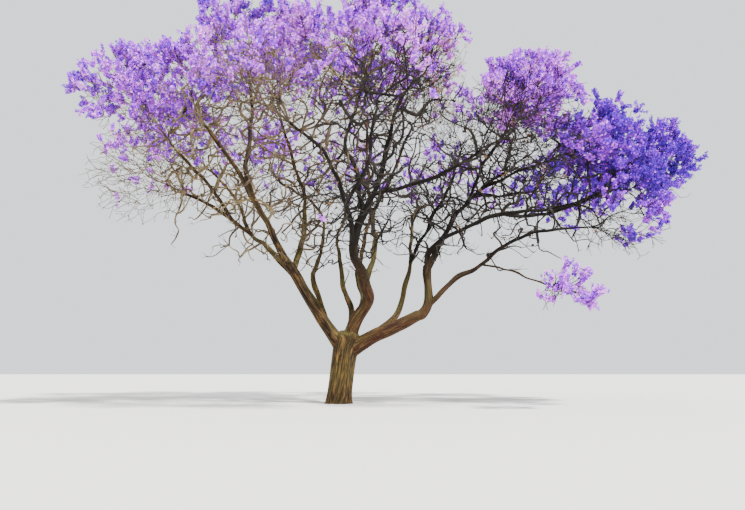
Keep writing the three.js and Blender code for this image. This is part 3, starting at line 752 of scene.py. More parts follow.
# One mesh from several (points, faces) pairs, with its places in metres.
def meshPiece(name, pairs, material, smooth=True):
    points = np.vstack([pair[0] for pair in pairs]) * mm
    loops, starts, offset, used = [], [], 0, 0
    for corners, faceSets in pairs:
        for faces in faceSets:
            loops.append((faces + offset).ravel())
            starts.append(used + faces.shape[1] * np.arange(len(faces)))
            used += faces.size
        offset += len(corners)
    mesh = bpy.data.meshes.new(name)
    mesh.vertices.add(len(points))
    mesh.vertices.foreach_set("co", points.astype(np.float32).ravel())
    mesh.loops.add(used)
    mesh.loops.foreach_set("vertex_index", np.concatenate(loops).astype(np.int32))
    mesh.polygons.add(sum(len(one) for one in starts))
    mesh.polygons.foreach_set("loop_start", np.concatenate(starts).astype(np.int32))
    mesh.update(calc_edges=True)
    mesh.polygons.foreach_set("use_smooth", np.full(len(mesh.polygons), smooth))
    mesh.materials.append(material)
    piece = placed(name, mesh)
    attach(piece, "root")
    return piece


def triangleCount(piece):  # a face counts as its corners less two
    mesh = piece.data
    return len(mesh.loops) - 2 * len(mesh.polygons)


# Materials


def linear(code):  # an sRGB hex value as linear light
    parts = np.array([int(code[i : i + 2], 16) for i in (1, 3, 5)]) / 255
    return (*np.where(parts <= 0.04045, parts / 12.92, ((parts + 0.055) / 1.055) ** 2.4), 1.0)


# Adds one node; a value that is a socket is linked, any other is set. A ramp's first two stops are the
# two that it has from the start.
def addNode(material, kind, inputs={}, stops=(), **settings):
    node = material.node_tree.nodes.new("ShaderNode" + kind)
    for key, value in settings.items():
        setattr(node, key, value)
    for key, value in inputs.items():
        if isinstance(value, bpy.types.NodeSocket):
            material.node_tree.links.new(value, node.inputs[key])
        else:
            node.inputs[key].default_value = value
    for i, (spot, colour) in enumerate(stops):
        stop = node.color_ramp.elements[i] if i < 2 else node.color_ramp.elements.new(spot)
        stop.position, stop.color = spot, colour
    return node


def newMaterial(name, **sockets):  # a material and its shader, with values set
    material = bpy.data.materials.new(name)
    material.use_nodes = True
    shader = material.node_tree.nodes["Principled BSDF"]
    for key, value in sockets.items():
        shader.inputs[key.replace("_", " ")].default_value = value
    return material, shader


def plug(material, output, shader, name):
    material.node_tree.links.new(output, shader.inputs[name])


# Jacaranda bark: thin grey-brown bark in long shallow furrows. Ridges are pale tan where rubbed, and the pale
# and dark patches over them are partly painted dappled sunlight and painted shade; the furrows are dark,
# partly as painted shade;
# lichen and moss give an olive cast on the upper sides, some limbs are redder, and limbs higher up get
# painted shade.
barkLook = {
    "ridgeMm": 50, "ridgeLength": 11, "patchMm": 330, "overlay": 0.55, "bumpMm": 14, "bumpStrength": 0.8,
    # The ridge ramp runs from near-black furrows, partly painted shade in the recesses, to tan ridges.
    "ridges": [(0.36, "#0f0904"), (0.62, "#735c35"), (0.48, "#332718")],
    "patches": [(0.42, "#352b1f"), (0.66, "#d0ba8c")],
    # X is moss and Y red; Z is the near-black of the painted shade on the higher limbs.
    "casts": {"X": "#48471f", "Y": "#45241a", "Z": "#0f0d0a"},
}


def makeBark():
    material, shader = newMaterial("furrowedBark", Roughness=0.92, Specular_IOR_Level=0.2)
    grain = addNode(material, "Attribute", attribute_name="grain").outputs["Vector"]
    cast = addNode(material, "Attribute", attribute_name="cast").outputs["Vector"]
    split = addNode(material, "SeparateXYZ", {"Vector": cast}).outputs
    stretched = addNode(material, "Mapping", {"Vector": grain, "Scale": (1, 1, 1 / barkLook["ridgeLength"])})
    ridges = addNode(material, "TexNoise", {
        "Vector": stretched.outputs["Vector"], "Scale": 1000 / barkLook["ridgeMm"], "Detail": 4.0,
        "Roughness": 0.6}).outputs["Fac"]
    patches = addNode(material, "TexNoise", {
        "Vector": grain, "Scale": 1000 / barkLook["patchMm"], "Detail": 3.0,
        "Roughness": 0.55}).outputs["Fac"]
    # The patch ramp is partly rubbed bark and partly painted dappled sunlight and painted shade.
    ramp, wornAndDappledLight = (
        addNode(material, "ValToRGB", {"Fac": noise}, [(spot, linear(code)) for spot, code in barkLook[key]])
        for noise, key in ((ridges, "ridges"), (patches, "patches")))
    colour = addNode(material, "MixRGB", {
        "Fac": barkLook["overlay"], "Color1": ramp.outputs["Color"], "Color2": wornAndDappledLight.outputs["Color"]},
        blend_type="OVERLAY").outputs["Color"]
    # moss, red, then painted shade, each mixed over the colour in turn
    for channel, code in barkLook["casts"].items():
        tint = {"Fac": split[channel], "Color1": colour, "Color2": linear(code)}
        colour = addNode(material, "MixRGB", tint).outputs["Color"]
    bump = addNode(material, "Bump", {
        "Height": ridges, "Strength": barkLook["bumpStrength"], "Distance": barkLook["bumpMm"] * mm})
    plug(material, colour, shader, "Base Color")
    plug(material, bump.outputs["Normal"], shader, "Normal")
    return material


# Twig bark: smooth young bark, mottled between two close browns over about a third of a metre.
twigBark = {"patchesPerMetre": 3.0, "darkUntil": 0.35, "paleFrom": 0.65}


def makeTwigBark(name, pale, dark):
    material, shader = newMaterial(name, Roughness=0.85, Specular_IOR_Level=0.25)
    place = addNode(material, "TexCoord").outputs["Object"]
    mottle = {"Vector": place, "Scale": twigBark["patchesPerMetre"], "Detail": 2.0}
    mottle = addNode(material, "TexNoise", mottle).outputs["Fac"]
    stops = [(twigBark["darkUntil"], linear(dark)), (twigBark["paleFrom"], linear(pale))]
    ramp = addNode(material, "ValToRGB", {"Fac": mottle}, stops)
    plug(material, ramp.outputs["Color"], shader, "Base Color")
    return material


# Jacaranda petals: thin, matt and a little downy, so colour stays even and edges catch a soft light.
def makePetal(name, colour):
    material, shader = newMaterial(name, Roughness=0.7, Specular_IOR_Level=0.2, Sheen_Weight=0.06)
    shader.inputs["Base Color"].default_value = linear(colour)
    return material


# Bark of the trunk and boughs

barkMesh = {
    "around": 40, "step": 22, "fewestRings": 6, "fewestSides": 8, "rootDepth": 0.5, "rootRings": 3,
    "trunkVoxel": 0.019, "boughVoxel": 0.0245, "smoothing": 0.5, "smoothTimes": 3, "runGap": 9000,
    "chunk": 4000, "ridgeMm": 95, "fineStretch": 0.14, "broadStretch": 0.3, "broadTimes": 2.6,
    "broadShare": 0.9, "reliefShare": 0.05, "mostRelief": 14.0, "fineSeed": 71, "broadSeed": 72,
}

# The casts of the bark: moss low down and on the upper sides, red on the limbs of the middle and right, and
# painted shade high up, least at the far left. The limbs behind count as sunlit and get less of the painted
# shade higher up.
barkCast = {
    "mossMm": 900, "mossLeast": 0.15, "mossUp": 0.55, "mossSwing": 0.5, "mostMoss": 0.75, "mossTop": 9000,
    "mossFade": 5000, "redLimbs": ("centre", "right"), "red": 0.6, "redElsewhere": 0.12, "redMm": 600,
    "redMiddle": 0.6, "redSwing": 0.7, "redTop": 7000, "redFade": 3000, "darkFrom": 2600, "darkOver": 2600,
    "mostDark": 0.97, "leftEdge": -3000, "leftOver": 3000, "highFrom": 5500, "highOver": 3000,
    "highDark": 0.7, "leastDark": 0.3, "sunnedShare": 0.3, "mossSeed": 5, "redSeed": 6,
    "sunned": {"top_back_left", "left_back", "back_left", "back_centre", "crown_centre", "top_back",
               "back_right"},
}

barkGroups = {
    "barkTrunk": ["trunk", "left", "right", "centre", "right_rise", "centre_rise"],
    "barkLeft": ["top_left", "left_crest", "top_back_left", "left_skirt", "left_lobe", "left_back",
                 "back_left", "back_centre", "left_front", "front_mid", "top_mid"],
    "barkRight": ["crown_centre", "right_front", "top_right", "top", "top_back", "back_right",
                  "shoulder_back", "right_outer", "right_skirt", "right_tip", "right_inner", "right_back",
                  "right_shoulder", "right_crest", "right_drop"],
}


# One limb as a tube: rings square to its curve, ring radii from the taper.
def limbArrays(limb):
    rings = max(barkMesh["fewestRings"], round(limb["length"] / barkMesh["step"]))
    along = np.linspace(0, 1, rings + 1)
    middles = splineAt(limb["points"], along)
    heading = unit(np.gradient(middles, axis=0))
    radius = limbRadius(limb, along)
    if limb["at"] < 1:  # reaches back into what it leaves
        back = np.linspace(barkMesh["rootDepth"], 0, barkMesh["rootRings"] + 1)[:-1]
        middles = np.vstack([middles[0] - heading[0] * radius[0] * back[:, None], middles])
        heading = np.vstack([np.tile(heading[0], (len(back), 1)), heading])
        radius = np.concatenate([radius[0] * (1 - back), radius])
    sides = int(2 * math.pi * limb["radii"][0] / barkMesh["step"])
    sides = max(barkMesh["fewestSides"], min(barkMesh["around"], sides))
    return tubeFaces(ringsRound(middles, heading, radius, sides)[None])


# The trunk: rings up to a low dome, with as many sides, fluted by a slow cosine round it that turns with
# height.
def trunkArrays():
    count = trunk["rings"]
    height = np.linspace(0, trunk["height"] + trunk["crown"], count)
    dome = np.maximum(0, (height - trunk["height"]) / trunk["crown"])
    angle = 2 * math.pi * np.arange(count) / count
    flutes = 1 + trunk["fluteDepth"] * np.cos(trunk["fluteCount"] * angle + height[:, None] / trunk["twist"])
    radius = (trunkGirth(height) * np.sqrt(1 - trunk["dome"] * dome**2))[:, None] * flutes
    points = np.repeat(trunkMiddle(height)[:, None, :], count, axis=1)
    points[..., 0] += radius * np.cos(angle)
    points[..., 1] -= radius * np.sin(angle)
    return tubeFaces(points[None, :, ::-1])


def trimmed(piece, kind, **settings):  # one modifier, applied
    modifier = piece.modifiers.new(kind.title(), kind)
    for key, value in settings.items():
        setattr(modifier, key, value)
    depsgraph = bpy.context.evaluated_depsgraph_get()
    mesh = bpy.data.meshes.new_from_object(piece.evaluated_get(depsgraph))
    old = piece.data
    piece.modifiers.clear()
    piece.data = mesh
    bpy.data.meshes.remove(old)


# For each point of a joined mesh, the bead whose limb's surface is nearest: its place and radius, how far
# along the limb it lies, the limb's heading there, and the limb's number.
def nearestBeads(points, names):
    rows = []
    for i, name in enumerate(names):
        limb = limbs[name]
        places = swayed(limb["beads"])
        rows.append((places, limb["beadRadii"], limb["beadRuns"] + barkMesh["runGap"] * i,
                     unit(np.gradient(places, axis=0)), np.full(len(places), i)))
    beads = [np.concatenate(values) for values in zip(*rows)]
    places, radii = beads[:2]
    nearest = np.zeros(len(points), int)
    for first in range(0, len(points), barkMesh["chunk"]):
        chunk = points[first : first + barkMesh["chunk"]]
        square = (chunk**2).sum(1)[:, None] - 2 * chunk @ places.T + (places**2).sum(1)
        distance = np.sqrt(np.maximum(square, 0)) - radii
        nearest[first : first + len(chunk)] = np.argmin(distance, axis=1)
    return [values[nearest] for values in beads]


# Bark relief: noise stretched along the limb gives long ridges, and stands out by a share of the radius.
def relief(grain, radii):
    ridge = barkMesh["ridgeMm"]
    fine = gridNoise(grain * [1, 1, barkMesh["fineStretch"]] / ridge, barkMesh["fineSeed"])
    broad = grain * [1, 1, barkMesh["broadStretch"]] / (ridge * barkMesh["broadTimes"])
    broad = gridNoise(broad, barkMesh["broadSeed"])
    reach = np.minimum(barkMesh["mostRelief"], barkMesh["reliefShare"] * radii)
    return reach * (fine + barkMesh["broadShare"] * broad)


# Each cast from 0 to 1 as even slopes in height, across and round the limb, times slow noise.
def castOf(points, normals, names, owner):
    cast = barkCast
    height = points[:, 2]
    blotch = gridNoise(points / cast["mossMm"], cast["mossSeed"])
    moss = cast["mossLeast"] + cast["mossUp"] * normals[:, 2] + cast["mossSwing"] * blotch
    moss = np.clip(moss, 0, cast["mostMoss"]) * np.clip((cast["mossTop"] - height) / cast["mossFade"], 0, 1)
    reddish = [one.startswith(cast["redLimbs"]) for one in names]
    red = np.where(reddish, cast["red"], cast["redElsewhere"])[owner]
    blotch = gridNoise(points / cast["redMm"], cast["redSeed"])
    red = red * np.clip(cast["redMiddle"] + cast["redSwing"] * blotch, 0, 1)
    red *= np.clip((cast["redTop"] - height) / cast["redFade"], 0, 1)
    # The third cast is painted shade: none low down, darker higher up and towards the right, less on the
    # sunlit limbs behind.
    shade = (points[:, 0] - cast["leftEdge"]) / cast["leftOver"]
    shade += np.clip((height - cast["highFrom"]) / cast["highOver"], 0, cast["highDark"])
    dark = np.clip((height - cast["darkFrom"]) / cast["darkOver"], 0, 1) * cast["mostDark"]
    dark *= np.clip(shade, cast["leastDark"], 1)
    dark *= np.where([one in cast["sunned"] for one in names], cast["sunnedShare"], 1)[owner]
    return np.stack([moss, red, dark], axis=1)


def vertexValues(mesh, key):  # a mesh's places or normals as an array
    values = np.zeros(len(mesh.vertices) * 3, np.float32)
    mesh.vertices.foreach_get(key, values)
    return values.reshape(-1, 3).astype(float)


# One bark piece: tubes joined by voxels and smoothed, then moved out along the normals by the relief.
def makeBarkPiece(name, names, material):
    pairs = [trunkArrays() if one == "trunk" else limbArrays(limbs[one]) for one in names]
    piece = meshPiece(name, [(swayed(points), faces) for points, faces in pairs], material)
    voxel = barkMesh["trunkVoxel" if "trunk" in names else "boughVoxel"]
    trimmed(piece, "REMESH", mode="VOXEL", voxel_size=voxel)
    trimmed(piece, "SMOOTH", factor=barkMesh["smoothing"], iterations=barkMesh["smoothTimes"])
    mesh = piece.data
    points, normals = vertexValues(mesh, "co") / mm, vertexValues(mesh, "normal")
    bead, radii, runs, ways, owner = nearestBeads(points, names)
    away = points - bead
    first, second = squareTo(ways)
    grain = np.stack([(away * first).sum(1), (away * second).sum(1), (away * ways).sum(1) + runs], axis=1)
    points += normals * relief(grain, radii)[:, None]
    points[:, 2] = np.maximum(points[:, 2], 0)
    mesh.vertices.foreach_set("co", (points * mm).astype(np.float32).ravel())
    for key, values in (("grain", grain * mm), ("cast", castOf(points, normals, names, owner))):
        attribute = mesh.attributes.new(key, "FLOAT_VECTOR", "POINT")
        attribute.data.foreach_set("vector", values.astype(np.float32).ravel())
    mesh.polygons.foreach_set("use_smooth", np.ones(len(mesh.polygons), bool))
    mesh.materials.clear()
    mesh.materials.append(material)
    mesh.update()
    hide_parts(*["trunk" if one == "trunk" else "bough_" + one for one in names])
    print(name, triangleCount(piece), "triangles")


bark = makeBark()
for name, names in barkGroups.items():
    makeBarkPiece(name, names, bark)

# Shoots at the ends of the twigs

shoots = {
    "sidePerTwig": 1.0, "sideShares": (0.25, 0.95), "length": (150, 380), "radii": (8.5, 5.5), "onward": 0.7,
    "outwards": 0.5, "rise": 0.35, "stray": 0.6, "bend": 0.7, "curl": 0.45, "tipRise": 0.3, "shell": 0.99,
    "boxRoom": 150, "seed": 900, "insideSeed": 880,
}


def insideBox(points, room):  # whether swayed places stay inside the solids' box, less some room
    low, high = (np.array(corner) / mm for corner in cadBox)
    moved = swayed(points)
    return ((moved > low + room) & (moved < high - room)).all(-1)


# Shoots leave every twig's tip, and some leave the twigs' sides. Each is a short cubic that curls at its end.
def growShoots(stand, random):
    twigs = stand["twigs"]
    fine = np.flatnonzero(stand["isFine"])
    tips = fine[stand["isTip"][fine]]
    extra = random.choice(fine, int(len(fine) * shoots["sidePerTwig"]))
    chosen = np.concatenate([tips, extra])
    share = np.concatenate([np.ones(len(tips)), random.uniform(*shoots["sideShares"], len(extra))])
    starts = np.stack([hermite(*(twigs[field][i] for field in tubeFields[:4]), [s])[0]
                       for i, s in zip(chosen, share)])
    heading = twigs["arriving"][chosen]
    outwards = unit(starts - stand["root"])
    way = unit(shoots["onward"] * heading + shoots["outwards"] * outwards + shoots["rise"] * up
               + shoots["stray"] * random.normal(size=starts.shape))
    ends = starts + way * random.uniform(*shoots["length"], len(starts))[:, None]
    keep = insideBox(ends, shoots["boxRoom"])
    if stand is not inside:
        keep &= (shellOf(stand, ends, 0) < shoots["shell"]) & (cellDepth(stand, ends) > 0)
    leaving = unit(heading + shoots["bend"] * way)
    arriving = unit(way + shoots["curl"] * random.normal(size=way.shape) + shoots["tipRise"] * up)
    stand["shoots"] = stretchSet(starts[keep], ends[keep], leaving[keep], arriving[keep], shoots["radii"])
    stand["shoots"]["near"] = stand["nearSpray"][chosen][keep]


for mass in masses.values():
    growShoots(mass, np.random.RandomState(shoots["seed"] + mass["index"]))
growShoots(inside, np.random.RandomState(shoots["insideSeed"]))

# Blossom

# A panicle: one stalk with flowers all round it. Halfway up a mass its chance is the upper or onTop value,
# and it rises with height. A mass's share multiplies that, and thick is how many panicles a shoot bears.
panicle = {
    "length": (210, 350), "radii": (4.0, 2.5), "perShoot": 3, "stray": 0.42, "outwards": 0.5, "rise": 0.45,
    "curl": 0.35, "boxRoom": 60, "seed": 1700, "steepness": 1.4, "lowest": 0.05, "onSpray": 1.0,
    "elsewhere": 0.75, "outerShell": 0.6, "inside": 0.04, "bareShell": 0.8, "clump": 620,
    "clumpMiddle": 0.9, "clumpSwing": 1.5, "leastClump": 0.1, "clumpSeed": 47,
    "upper": {"left": 0.78, "top": 0.6, "right": 1.12},
    "onTop": {"right_front": -0.45, "right_inner": -0.3, "crown_centre": -0.3, "shoulder_back": 0,
              "front_mid": 0.2, "left_front": 0.2, "right_crest": 1.75, "right_shoulder": 1.4},
    "share": {"left_skirt": 0.1, "left_back": 0.25, "back_left": 0.3, "back_centre": 0.3, "back_right": 0.35,
              "left_front": 0.22, "front_mid": 0.4, "right_front": 0.6, "crown_centre": 0.5,
              "shoulder_back": 0.35, "right_inner": 0.6, "top_right": 0.5, "top_back": 0.5,
              "top_back_left": 0.55, "right_skirt": 0.5, "right_drop": 0.24, "right_back": 0.7,
              "right_crest": 5, "right_shoulder": 1.2},
    "thick": {"right_crest": 5, "right_shoulder": 4},
}

# The flowers of a panicle, two to three times life size because their count is low. Tones spread round the
# violet of the mass by clump, by hand's breadth, by panicle and by flower. This spread is partly the
# blossom's own variety
# and partly painted light and shade: pale flowers as painted highlights, deep ones as painted shade among
# them.
trumpet = {
    "count": 12, "from": 0.05, "sizeMm": (80, 108), "footSize": 1.1, "taper": 0.35, "golden": 2.4,
    "leanFoot": 0.15, "leanTip": 0.75, "droop": 0.25, "stray": 0.25, "lobes": 5, "lobeHalf": 0.54,
    "depth": 0.62, "clumpTone": 0.26, "clumpMm": 1100, "handTone": 0.16, "handMm": 420, "panicleTone": 0.04,
    "flowerTone": 0.26, "clumpSeed": 91, "handSeed": 92,
}

# Last year's growth that is still on the tree: the share of bare shoots with a dry stalk or with a pod.
lastYear = {
    "stalk": 0.02, "pod": 0.03, "podShare": 0.3, "arms": 4, "armLength": (90, 150), "armRadii": (6.5, 4.5),
    "rise": 0.3, "armStep": 0.2, "mainSpread": 0.1, "podMm": (85, 115), "podDroop": 0.6, "podSides": 7,
    "podWave": 0.05, "podSwell": 0.13,
    "more": {"top_right": 0.7, "crown_centre": 0.3, "shoulder_back": 0.1, "top": 0.15, "top_mid": 0.15,
             "left_crest": 0.15, "left_back": 0.2, "top_back_left": 0.3, "top_back": 0.3},
}

# Blossom crowds the outside of the crown: how far out a place lies in a round dome decides its chance.
crownDome = {"middle": (1500, 0, 3500), "half": (10000, 10500, 11000), "bareWithin": 0.72, "fullBeyond": 0.84,
             "least": 0.035, "freeMass": "right_drop"}

# Petal shades from pale pinkish lilac to deep violet: partly the blossom's own colours, with the palest also
# serving as painted highlights and the deepest as painted shade.
shades = [("petalPale", "#f5a8ff"), ("petalLilac", "#d653fa"), ("petalMid", "#b436f0"),
          ("petalViolet", "#8c26e0"), ("petalDeep", "#6216c4")]


def bloomShare(mass, points):
    if mass["name"] == crownDome["freeMass"]:
        return np.ones(len(points))
    out = np.linalg.norm((points - crownDome["middle"]) / crownDome["half"], axis=1)
    share = (out - crownDome["bareWithin"]) / (crownDome["fullBeyond"] - crownDome["bareWithin"])
    return np.clip(share, crownDome["least"], 1)


# A trumpet flower along +Z, one across: five lobes, each one face from the throat to its stretch of the rim.
def flowerShape():
    count = trumpet["lobes"]
    middles = 2 * math.pi * np.arange(count) / count
    turn = np.stack([middles - trumpet["lobeHalf"], middles + trumpet["lobeHalf"]], axis=1).ravel()
    rims = np.stack([0.5 * np.cos(turn), 0.5 * np.sin(turn), np.full(2 * count, trumpet["depth"])], axis=1)
    i = np.arange(count)
    return np.vstack([[0, 0, 0], rims]), np.stack([0 * i, 1 + 2 * i, 2 + 2 * i], axis=1)


# A pod: a flat round disc, a little wavy round its rim.
def podShape():
    count = lastYear["podSides"]
    turn = 2 * math.pi * np.arange(count) / count
    wave = lastYear["podWave"] * np.cos(2 * turn)
    rim = np.stack([0.5 * np.cos(turn), wave, 0.5 + 0.5 * np.sin(turn)], axis=1)
    points = np.vstack([[0, -lastYear["podSwell"], 0.5], [0, lastYear["podSwell"], 0.5], rim])
    i = np.arange(count)
    j = (i + 1) % count
    front, back = np.stack([0 * i, 2 + i, 2 + j], axis=1), np.stack([0 * i + 1, 2 + j, 2 + i], axis=1)
    return points, np.vstack([front, back])


# Copies of a shape: each turned so that its Z runs along a way, rolled about it, and sized.
def copiesOf(shape, things):
    points, faces = shape
    places, ways, sizes, rolls = (things[field] for field in copyFields)
    first, second = squareTo(ways)
    c, s = np.cos(rolls)[:, None], np.sin(rolls)[:, None]
    first, second = c * first + s * second, c * second - s * first
    x, y, z = (points[:, k][None, :, None] for k in range(3))
    moved = x * first[:, None, :] + y * second[:, None, :] + z * ways[:, None, :]
    moved = moved * sizes[:, None, None] + swayed(places)[:, None, :]
    steps = np.arange(len(places))[:, None, None] * len(points)
    return moved.reshape(-1, 3), [(faces[None] + steps).reshape(-1, faces.shape[1])]


def growLastYear(mass, ends, ways, bare, random):  # dry stalks with side arms, and pods, on bare shoots
    more = lastYear["more"].get(mass["name"], 0)
    dry = bare & (random.random(len(ends)) < lastYear["stalk"] + more)
    podded = bare & ~dry & (random.random(len(ends)) < lastYear["pod"] + lastYear["podShare"] * more)
    number = lastYear["arms"] + 1
    starts = np.repeat(ends[dry], number, axis=0)
    way = np.repeat(unit(ways[dry] + lastYear["rise"] * up), number, axis=0)
    length = random.uniform(*lastYear["armLength"], len(starts))
    rank = np.tile(np.arange(number), dry.sum())
    aside = unit(acrossFrom(random.normal(size=starts.shape), way))
    starts = starts + way * (rank * lastYear["armStep"] * lastYear["armLength"][1])[:, None]
    spread = np.where(rank > 0, 1, lastYear["mainSpread"])[:, None]
    tips = starts + unit(way + aside * spread) * length[:, None]
    mass["dry"] = stretchSet(starts, tips, way, unit(tips - starts), lastYear["armRadii"])
    count = podded.sum()
    hanging = unit(random.normal(size=(count, 3)) - lastYear["podDroop"] * up)
    sizes, rolls = random.uniform(*lastYear["podMm"], count), random.uniform(0, fullTurn, count)
    mass["pods"] = dict(zip(copyFields, (ends[podded], hanging, sizes, rolls)))


def bloomChance(mass, source):  # the chance that each shoot of a stand bears panicles
    ends = source["ends"]
    chance = np.full(len(ends), panicle["inside"])
    if mass is not inside:
        outer = shellOf(mass, ends, 0) > panicle["outerShell"]
        upper = panicle["upper"].get(mass["name"].split("_")[0], panicle["upper"]["top"])
        upper = panicle["onTop"].get(mass["name"], upper)
        height = (ends[:, 2] - mass["middle"][2]) / mass["half"][2]
        chance = np.where(source["near"], panicle["onSpray"], panicle["elsewhere"] * outer)
        chance = chance * np.clip(upper + panicle["steepness"] * height, panicle["lowest"], 1)
    clump = gridNoise(ends / panicle["clump"], panicle["clumpSeed"])
    clump = panicle["clumpMiddle"] + panicle["clumpSwing"] * clump
    chance = chance * np.clip(clump, panicle["leastClump"], 1) * bloomShare(mass, ends)
    return chance * panicle["share"].get(mass["name"], 1)


# Shoots that draw below their chance bear a few panicles, which stray round the way out and up.
def growPanicles(mass, random):
    source = mass["shoots"]
    ends = source["ends"]
    keep = random.random(len(ends)) < bloomChance(mass, source)
    outermost = bloomShare(mass, ends) > panicle["bareShell"]
    growLastYear(mass, ends, source["arriving"], ~keep & ~outermost, random)
    mass["shoots"] = {field: values[keep | ~outermost] for field, values in source.items()}
    outwards = panicle["outwards"] * unit(ends - mass["root"])
    heading = unit(source["arriving"] + outwards + panicle["rise"] * up)
    length = random.uniform(*panicle["length"], len(ends))[:, None]
    keep &= insideBox(ends + heading * length, panicle["boxRoom"])
    chosen = np.repeat(np.flatnonzero(keep), panicle["thick"].get(mass["name"], panicle["perShoot"]))
    heading = unit(heading[chosen] + panicle["stray"] * random.normal(size=(len(chosen), 3)))
    arriving = unit(heading + panicle["curl"] * random.normal(size=heading.shape))
    mass["stalks"] = stretchSet(ends[chosen], ends[chosen] + heading * length[chosen],
                                source["arriving"][chosen], arriving, panicle["radii"])
    growFlowers(mass, random)


# Flowers wind up each stalk by the golden angle. Towards its tip they lean on along it and get smaller.
def growFlowers(mass, random):
    stalks = mass["stalks"]
    count, number = len(stalks["starts"]), trumpet["count"]
    share = np.linspace(trumpet["from"], 1, number)
    places = hermite(*(stalks[field] for field in tubeFields[:4]), share)
    axis = unit(np.gradient(places, axis=1))
    turn = trumpet["golden"] * np.arange(number) + random.uniform(0, fullTurn, (count, 1))
    first, second = squareTo(axis)
    out = np.cos(turn)[..., None] * first + np.sin(turn)[..., None] * second
    lean = (trumpet["leanFoot"] + trumpet["leanTip"] * share**2)[None, :, None]
    stray = trumpet["stray"] * random.normal(size=out.shape)
    ways = unit(out + lean * axis - trumpet["droop"] * up + stray)
    sizes = random.uniform(*trumpet["sizeMm"], (count, number))
    sizes *= trumpet["footSize"] - trumpet["taper"] * share
    starts = stalks["starts"]
    # the tone mixes the blossom's own hue with painted light and shade
    tone = mass["violet"] + trumpet["panicleTone"] * random.normal(size=count)
    for scale in ("clump", "hand"):
        tone += trumpet[scale + "Tone"] * gridNoise(starts / trumpet[scale + "Mm"], trumpet[scale + "Seed"])
    tone = tone[:, None] + trumpet["flowerTone"] * random.normal(size=(count, number))
    shade = np.clip((tone * len(shades)).astype(int), 0, len(shades) - 1)
    rolls = random.uniform(0, fullTurn, (count, number))
    rows = (places.reshape(-1, 3), ways.reshape(-1, 3), sizes.ravel(), rolls.ravel())
    mass["flowers"] = dict(zip(copyFields, rows), shade=shade.ravel())


stands = [*masses.values(), inside]
for stand in stands:
    growPanicles(stand, np.random.RandomState(panicle["seed"] + stand["index"]))


# Twigs: pale as painted sunlight at the left of the crown and high up, darker as painted shade towards the
# right, with a random mottle between. The tone is a plain colour of each stretch, and every tone is joined
# into a near and a far piece.
twigLook = {
    "tones": [("Pale", "#80704e", "#413726"), ("HalfShadedBrown", "#5f4f3b", "#30281e"),
              ("ShadedDark", "#2f2822", "#15120f")],
    "paleUntil": -4300, "darkFrom": 1400, "mottle": 0.5, "patch": 1500, "paleHigh": 0.65, "highFrom": 8600,
    "highOver": 2000, "heavyFrom": 15, "mottleSeed": 61,
}

# The sides and the rings of each kind of stretch.
stretchSides = {"heavy": (4, 3), "thin": (3, 2), "inner": (4, 5), "shoots": (3, 1), "stalks": (3, 1),
                "dry": (3, 1)}
nearAndFar = (("Near", -1), ("Far", 1))


# Tones are painted light and shade: the palest stand for sunlit twigs, the darkest for shaded ones.
def toneAt(places):  # the number of the tone that twigs have at some places
    drift = (places[:, 0] - twigLook["paleUntil"]) / (twigLook["darkFrom"] - twigLook["paleUntil"])
    drift += twigLook["mottle"] * gridNoise(places / twigLook["patch"], twigLook["mottleSeed"])
    high = np.clip((places[:, 2] - twigLook["highFrom"]) / twigLook["highOver"], 0, 1)
    drift -= twigLook["paleHigh"] * high
    return np.clip((drift * len(twigLook["tones"])).astype(int), 0, len(twigLook["tones"]) - 1)


def gathered(key, fields=tubeFields):  # one kind of thing from all stands
    return {field: np.concatenate([stand[key][field] for stand in stands]) for field in fields}


def tubesOf(stretches, kind, chosen=slice(None)):  # stretches of a kind as swayed tubes
    points, faces = tubeArrays({field: stretches[field][chosen] for field in tubeFields}, *stretchSides[kind])
    return swayed(points), faces


# Each piece has the stretches of its tone that start on its side, and stands for the masses whose
# middles do.
def makeTwigPieces():
    twigs = gathered("twigs")
    heavy = twigs["radii"][:, 0] > twigLook["heavyFrom"]
    among = np.arange(len(heavy)) >= len(heavy) - len(inside["isTip"])  # the inner twigs come last
    kinds = [("heavy", twigs, heavy & ~among), ("thin", twigs, ~heavy & ~among), ("inner", twigs, among)]
    kinds += [(key, gathered(key), True) for key in ("shoots", "stalks")]
    middles = np.array([mass["middle"] for mass in masses.values()])
    massTones = toneAt(middles)
    # each tone is the same twig bark painted lighter or darker for light and shade
    for k, (tone, pale, dark) in enumerate(twigLook["tones"]):
        material = makeTwigBark("twigBark" + tone, pale, dark)
        for side, sign in nearAndFar:
            pairs = []
            for kind, stretches, part in kinds:
                starts = stretches["starts"]
                chosen = part & (toneAt(starts) == k) & (starts[:, 1] * sign > 0)
                pairs.append(tubesOf(stretches, kind, chosen))
            piece = meshPiece("twigs" + tone + side, pairs, material)
            stoodFor = (massTones == k) & ((middles[:, 1] > 0) == (sign > 0))
            names = ["mass_" + name for name, own in zip(masses, stoodFor) if own]
            if names:
                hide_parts(*names)
            print(piece.name, triangleCount(piece), "triangles for", len(names), "masses")


makeTwigPieces()


def makeBlossomPieces():  # one for each shade and side
    flower = flowerShape()
    flowers = gathered("flowers", (*copyFields, "shade"))
    for k, (name, colour) in enumerate(shades):
        material = makePetal(name, colour)
        for side, sign in nearAndFar:
            chosen = (flowers["shade"] == k) & (flowers["places"][:, 1] * sign > 0)
            copies = copiesOf(flower, {field: flowers[field][chosen] for field in copyFields})
            piece = meshPiece("blossom" + name.removeprefix("petal") + side, [copies], material, smooth=False)
            print(piece.name, triangleCount(piece), "triangles")


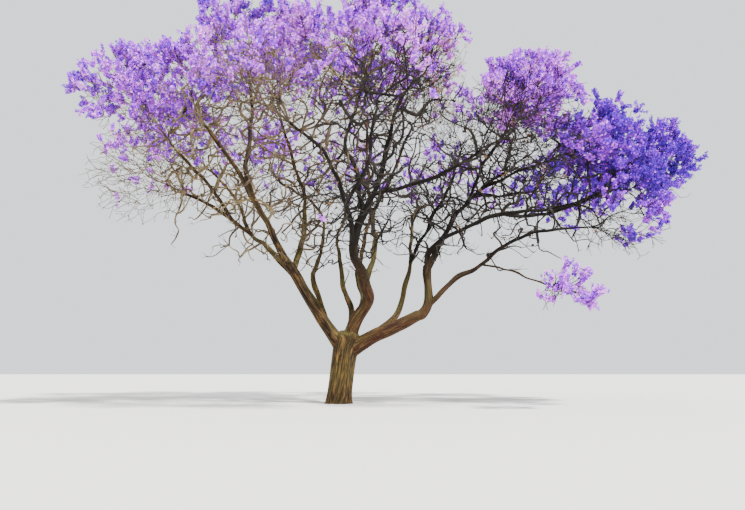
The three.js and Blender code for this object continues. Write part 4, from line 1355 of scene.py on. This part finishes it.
makeBlossomPieces()


def makeLastYearPieces():
    dryBark = makeTwigBark("dryStalk", "#a67a55", "#704d32")
    podBark = makeTwigBark("woodyPod", "#5b4028", "#38281a")
    stalks = meshPiece("dryStalks", [tubesOf(gathered("dry"), "dry")], dryBark)
    pods = meshPiece("pods", [copiesOf(podShape(), gathered("pods", copyFields))], podBark, smooth=False)
    print("last year's stalks and pods:", triangleCount(stalks) + triangleCount(pods), "triangles")


makeLastYearPieces()

# Floor, light and camera

studio = {"floor": "#d2cfca", "floorSize": 400.0, "sky": "#eef1f5", "skyPower": 1.65, "sunPower": 12.5,
          "sunAngle": 5.0, "sunTurn": (36, 0, 45), "place": (1.136, -23.0, 1.057), "pitch": 9.64,
          "sensor": 36.0, "lens": 33.0, "farthest": 1000}


def makeFloor():
    half = studio["floorSize"] / 2
    mesh = bpy.data.meshes.new("floor")
    corners = [(-half, -half, 0), (half, -half, 0), (half, half, 0), (-half, half, 0)]
    mesh.from_pydata(corners, [], [(0, 1, 2, 3)])
    material, shader = newMaterial("matteFloor", Roughness=0.9)
    shader.inputs["Base Color"].default_value = linear(studio["floor"])
    mesh.materials.append(material)
    placed("floor", mesh)


def makeLight():
    world = bpy.data.worlds.new("paleSky")
    world.use_nodes = True
    sky = world.node_tree.nodes["Background"].inputs
    sky["Color"].default_value, sky["Strength"].default_value = linear(studio["sky"]), studio["skyPower"]
    bpy.context.scene.world = world
    sun = bpy.data.lights.new("softSun", "SUN")
    sun.energy, sun.angle = studio["sunPower"], math.radians(studio["sunAngle"])
    placed("softSun", sun).rotation_euler = [math.radians(turn) for turn in studio["sunTurn"]]


def makeCamera():
    camera = placed("camera", bpy.data.cameras.new("camera"))
    camera.data.sensor_width, camera.data.lens = studio["sensor"], studio["lens"]
    camera.data.clip_end = studio["farthest"]
    camera.location = studio["place"]
    camera.rotation_euler = (math.radians(90 + studio["pitch"]), 0, 0)
    bpy.context.scene.camera = camera


makeFloor()
makeLight()
makeCamera()
print("scene ready")
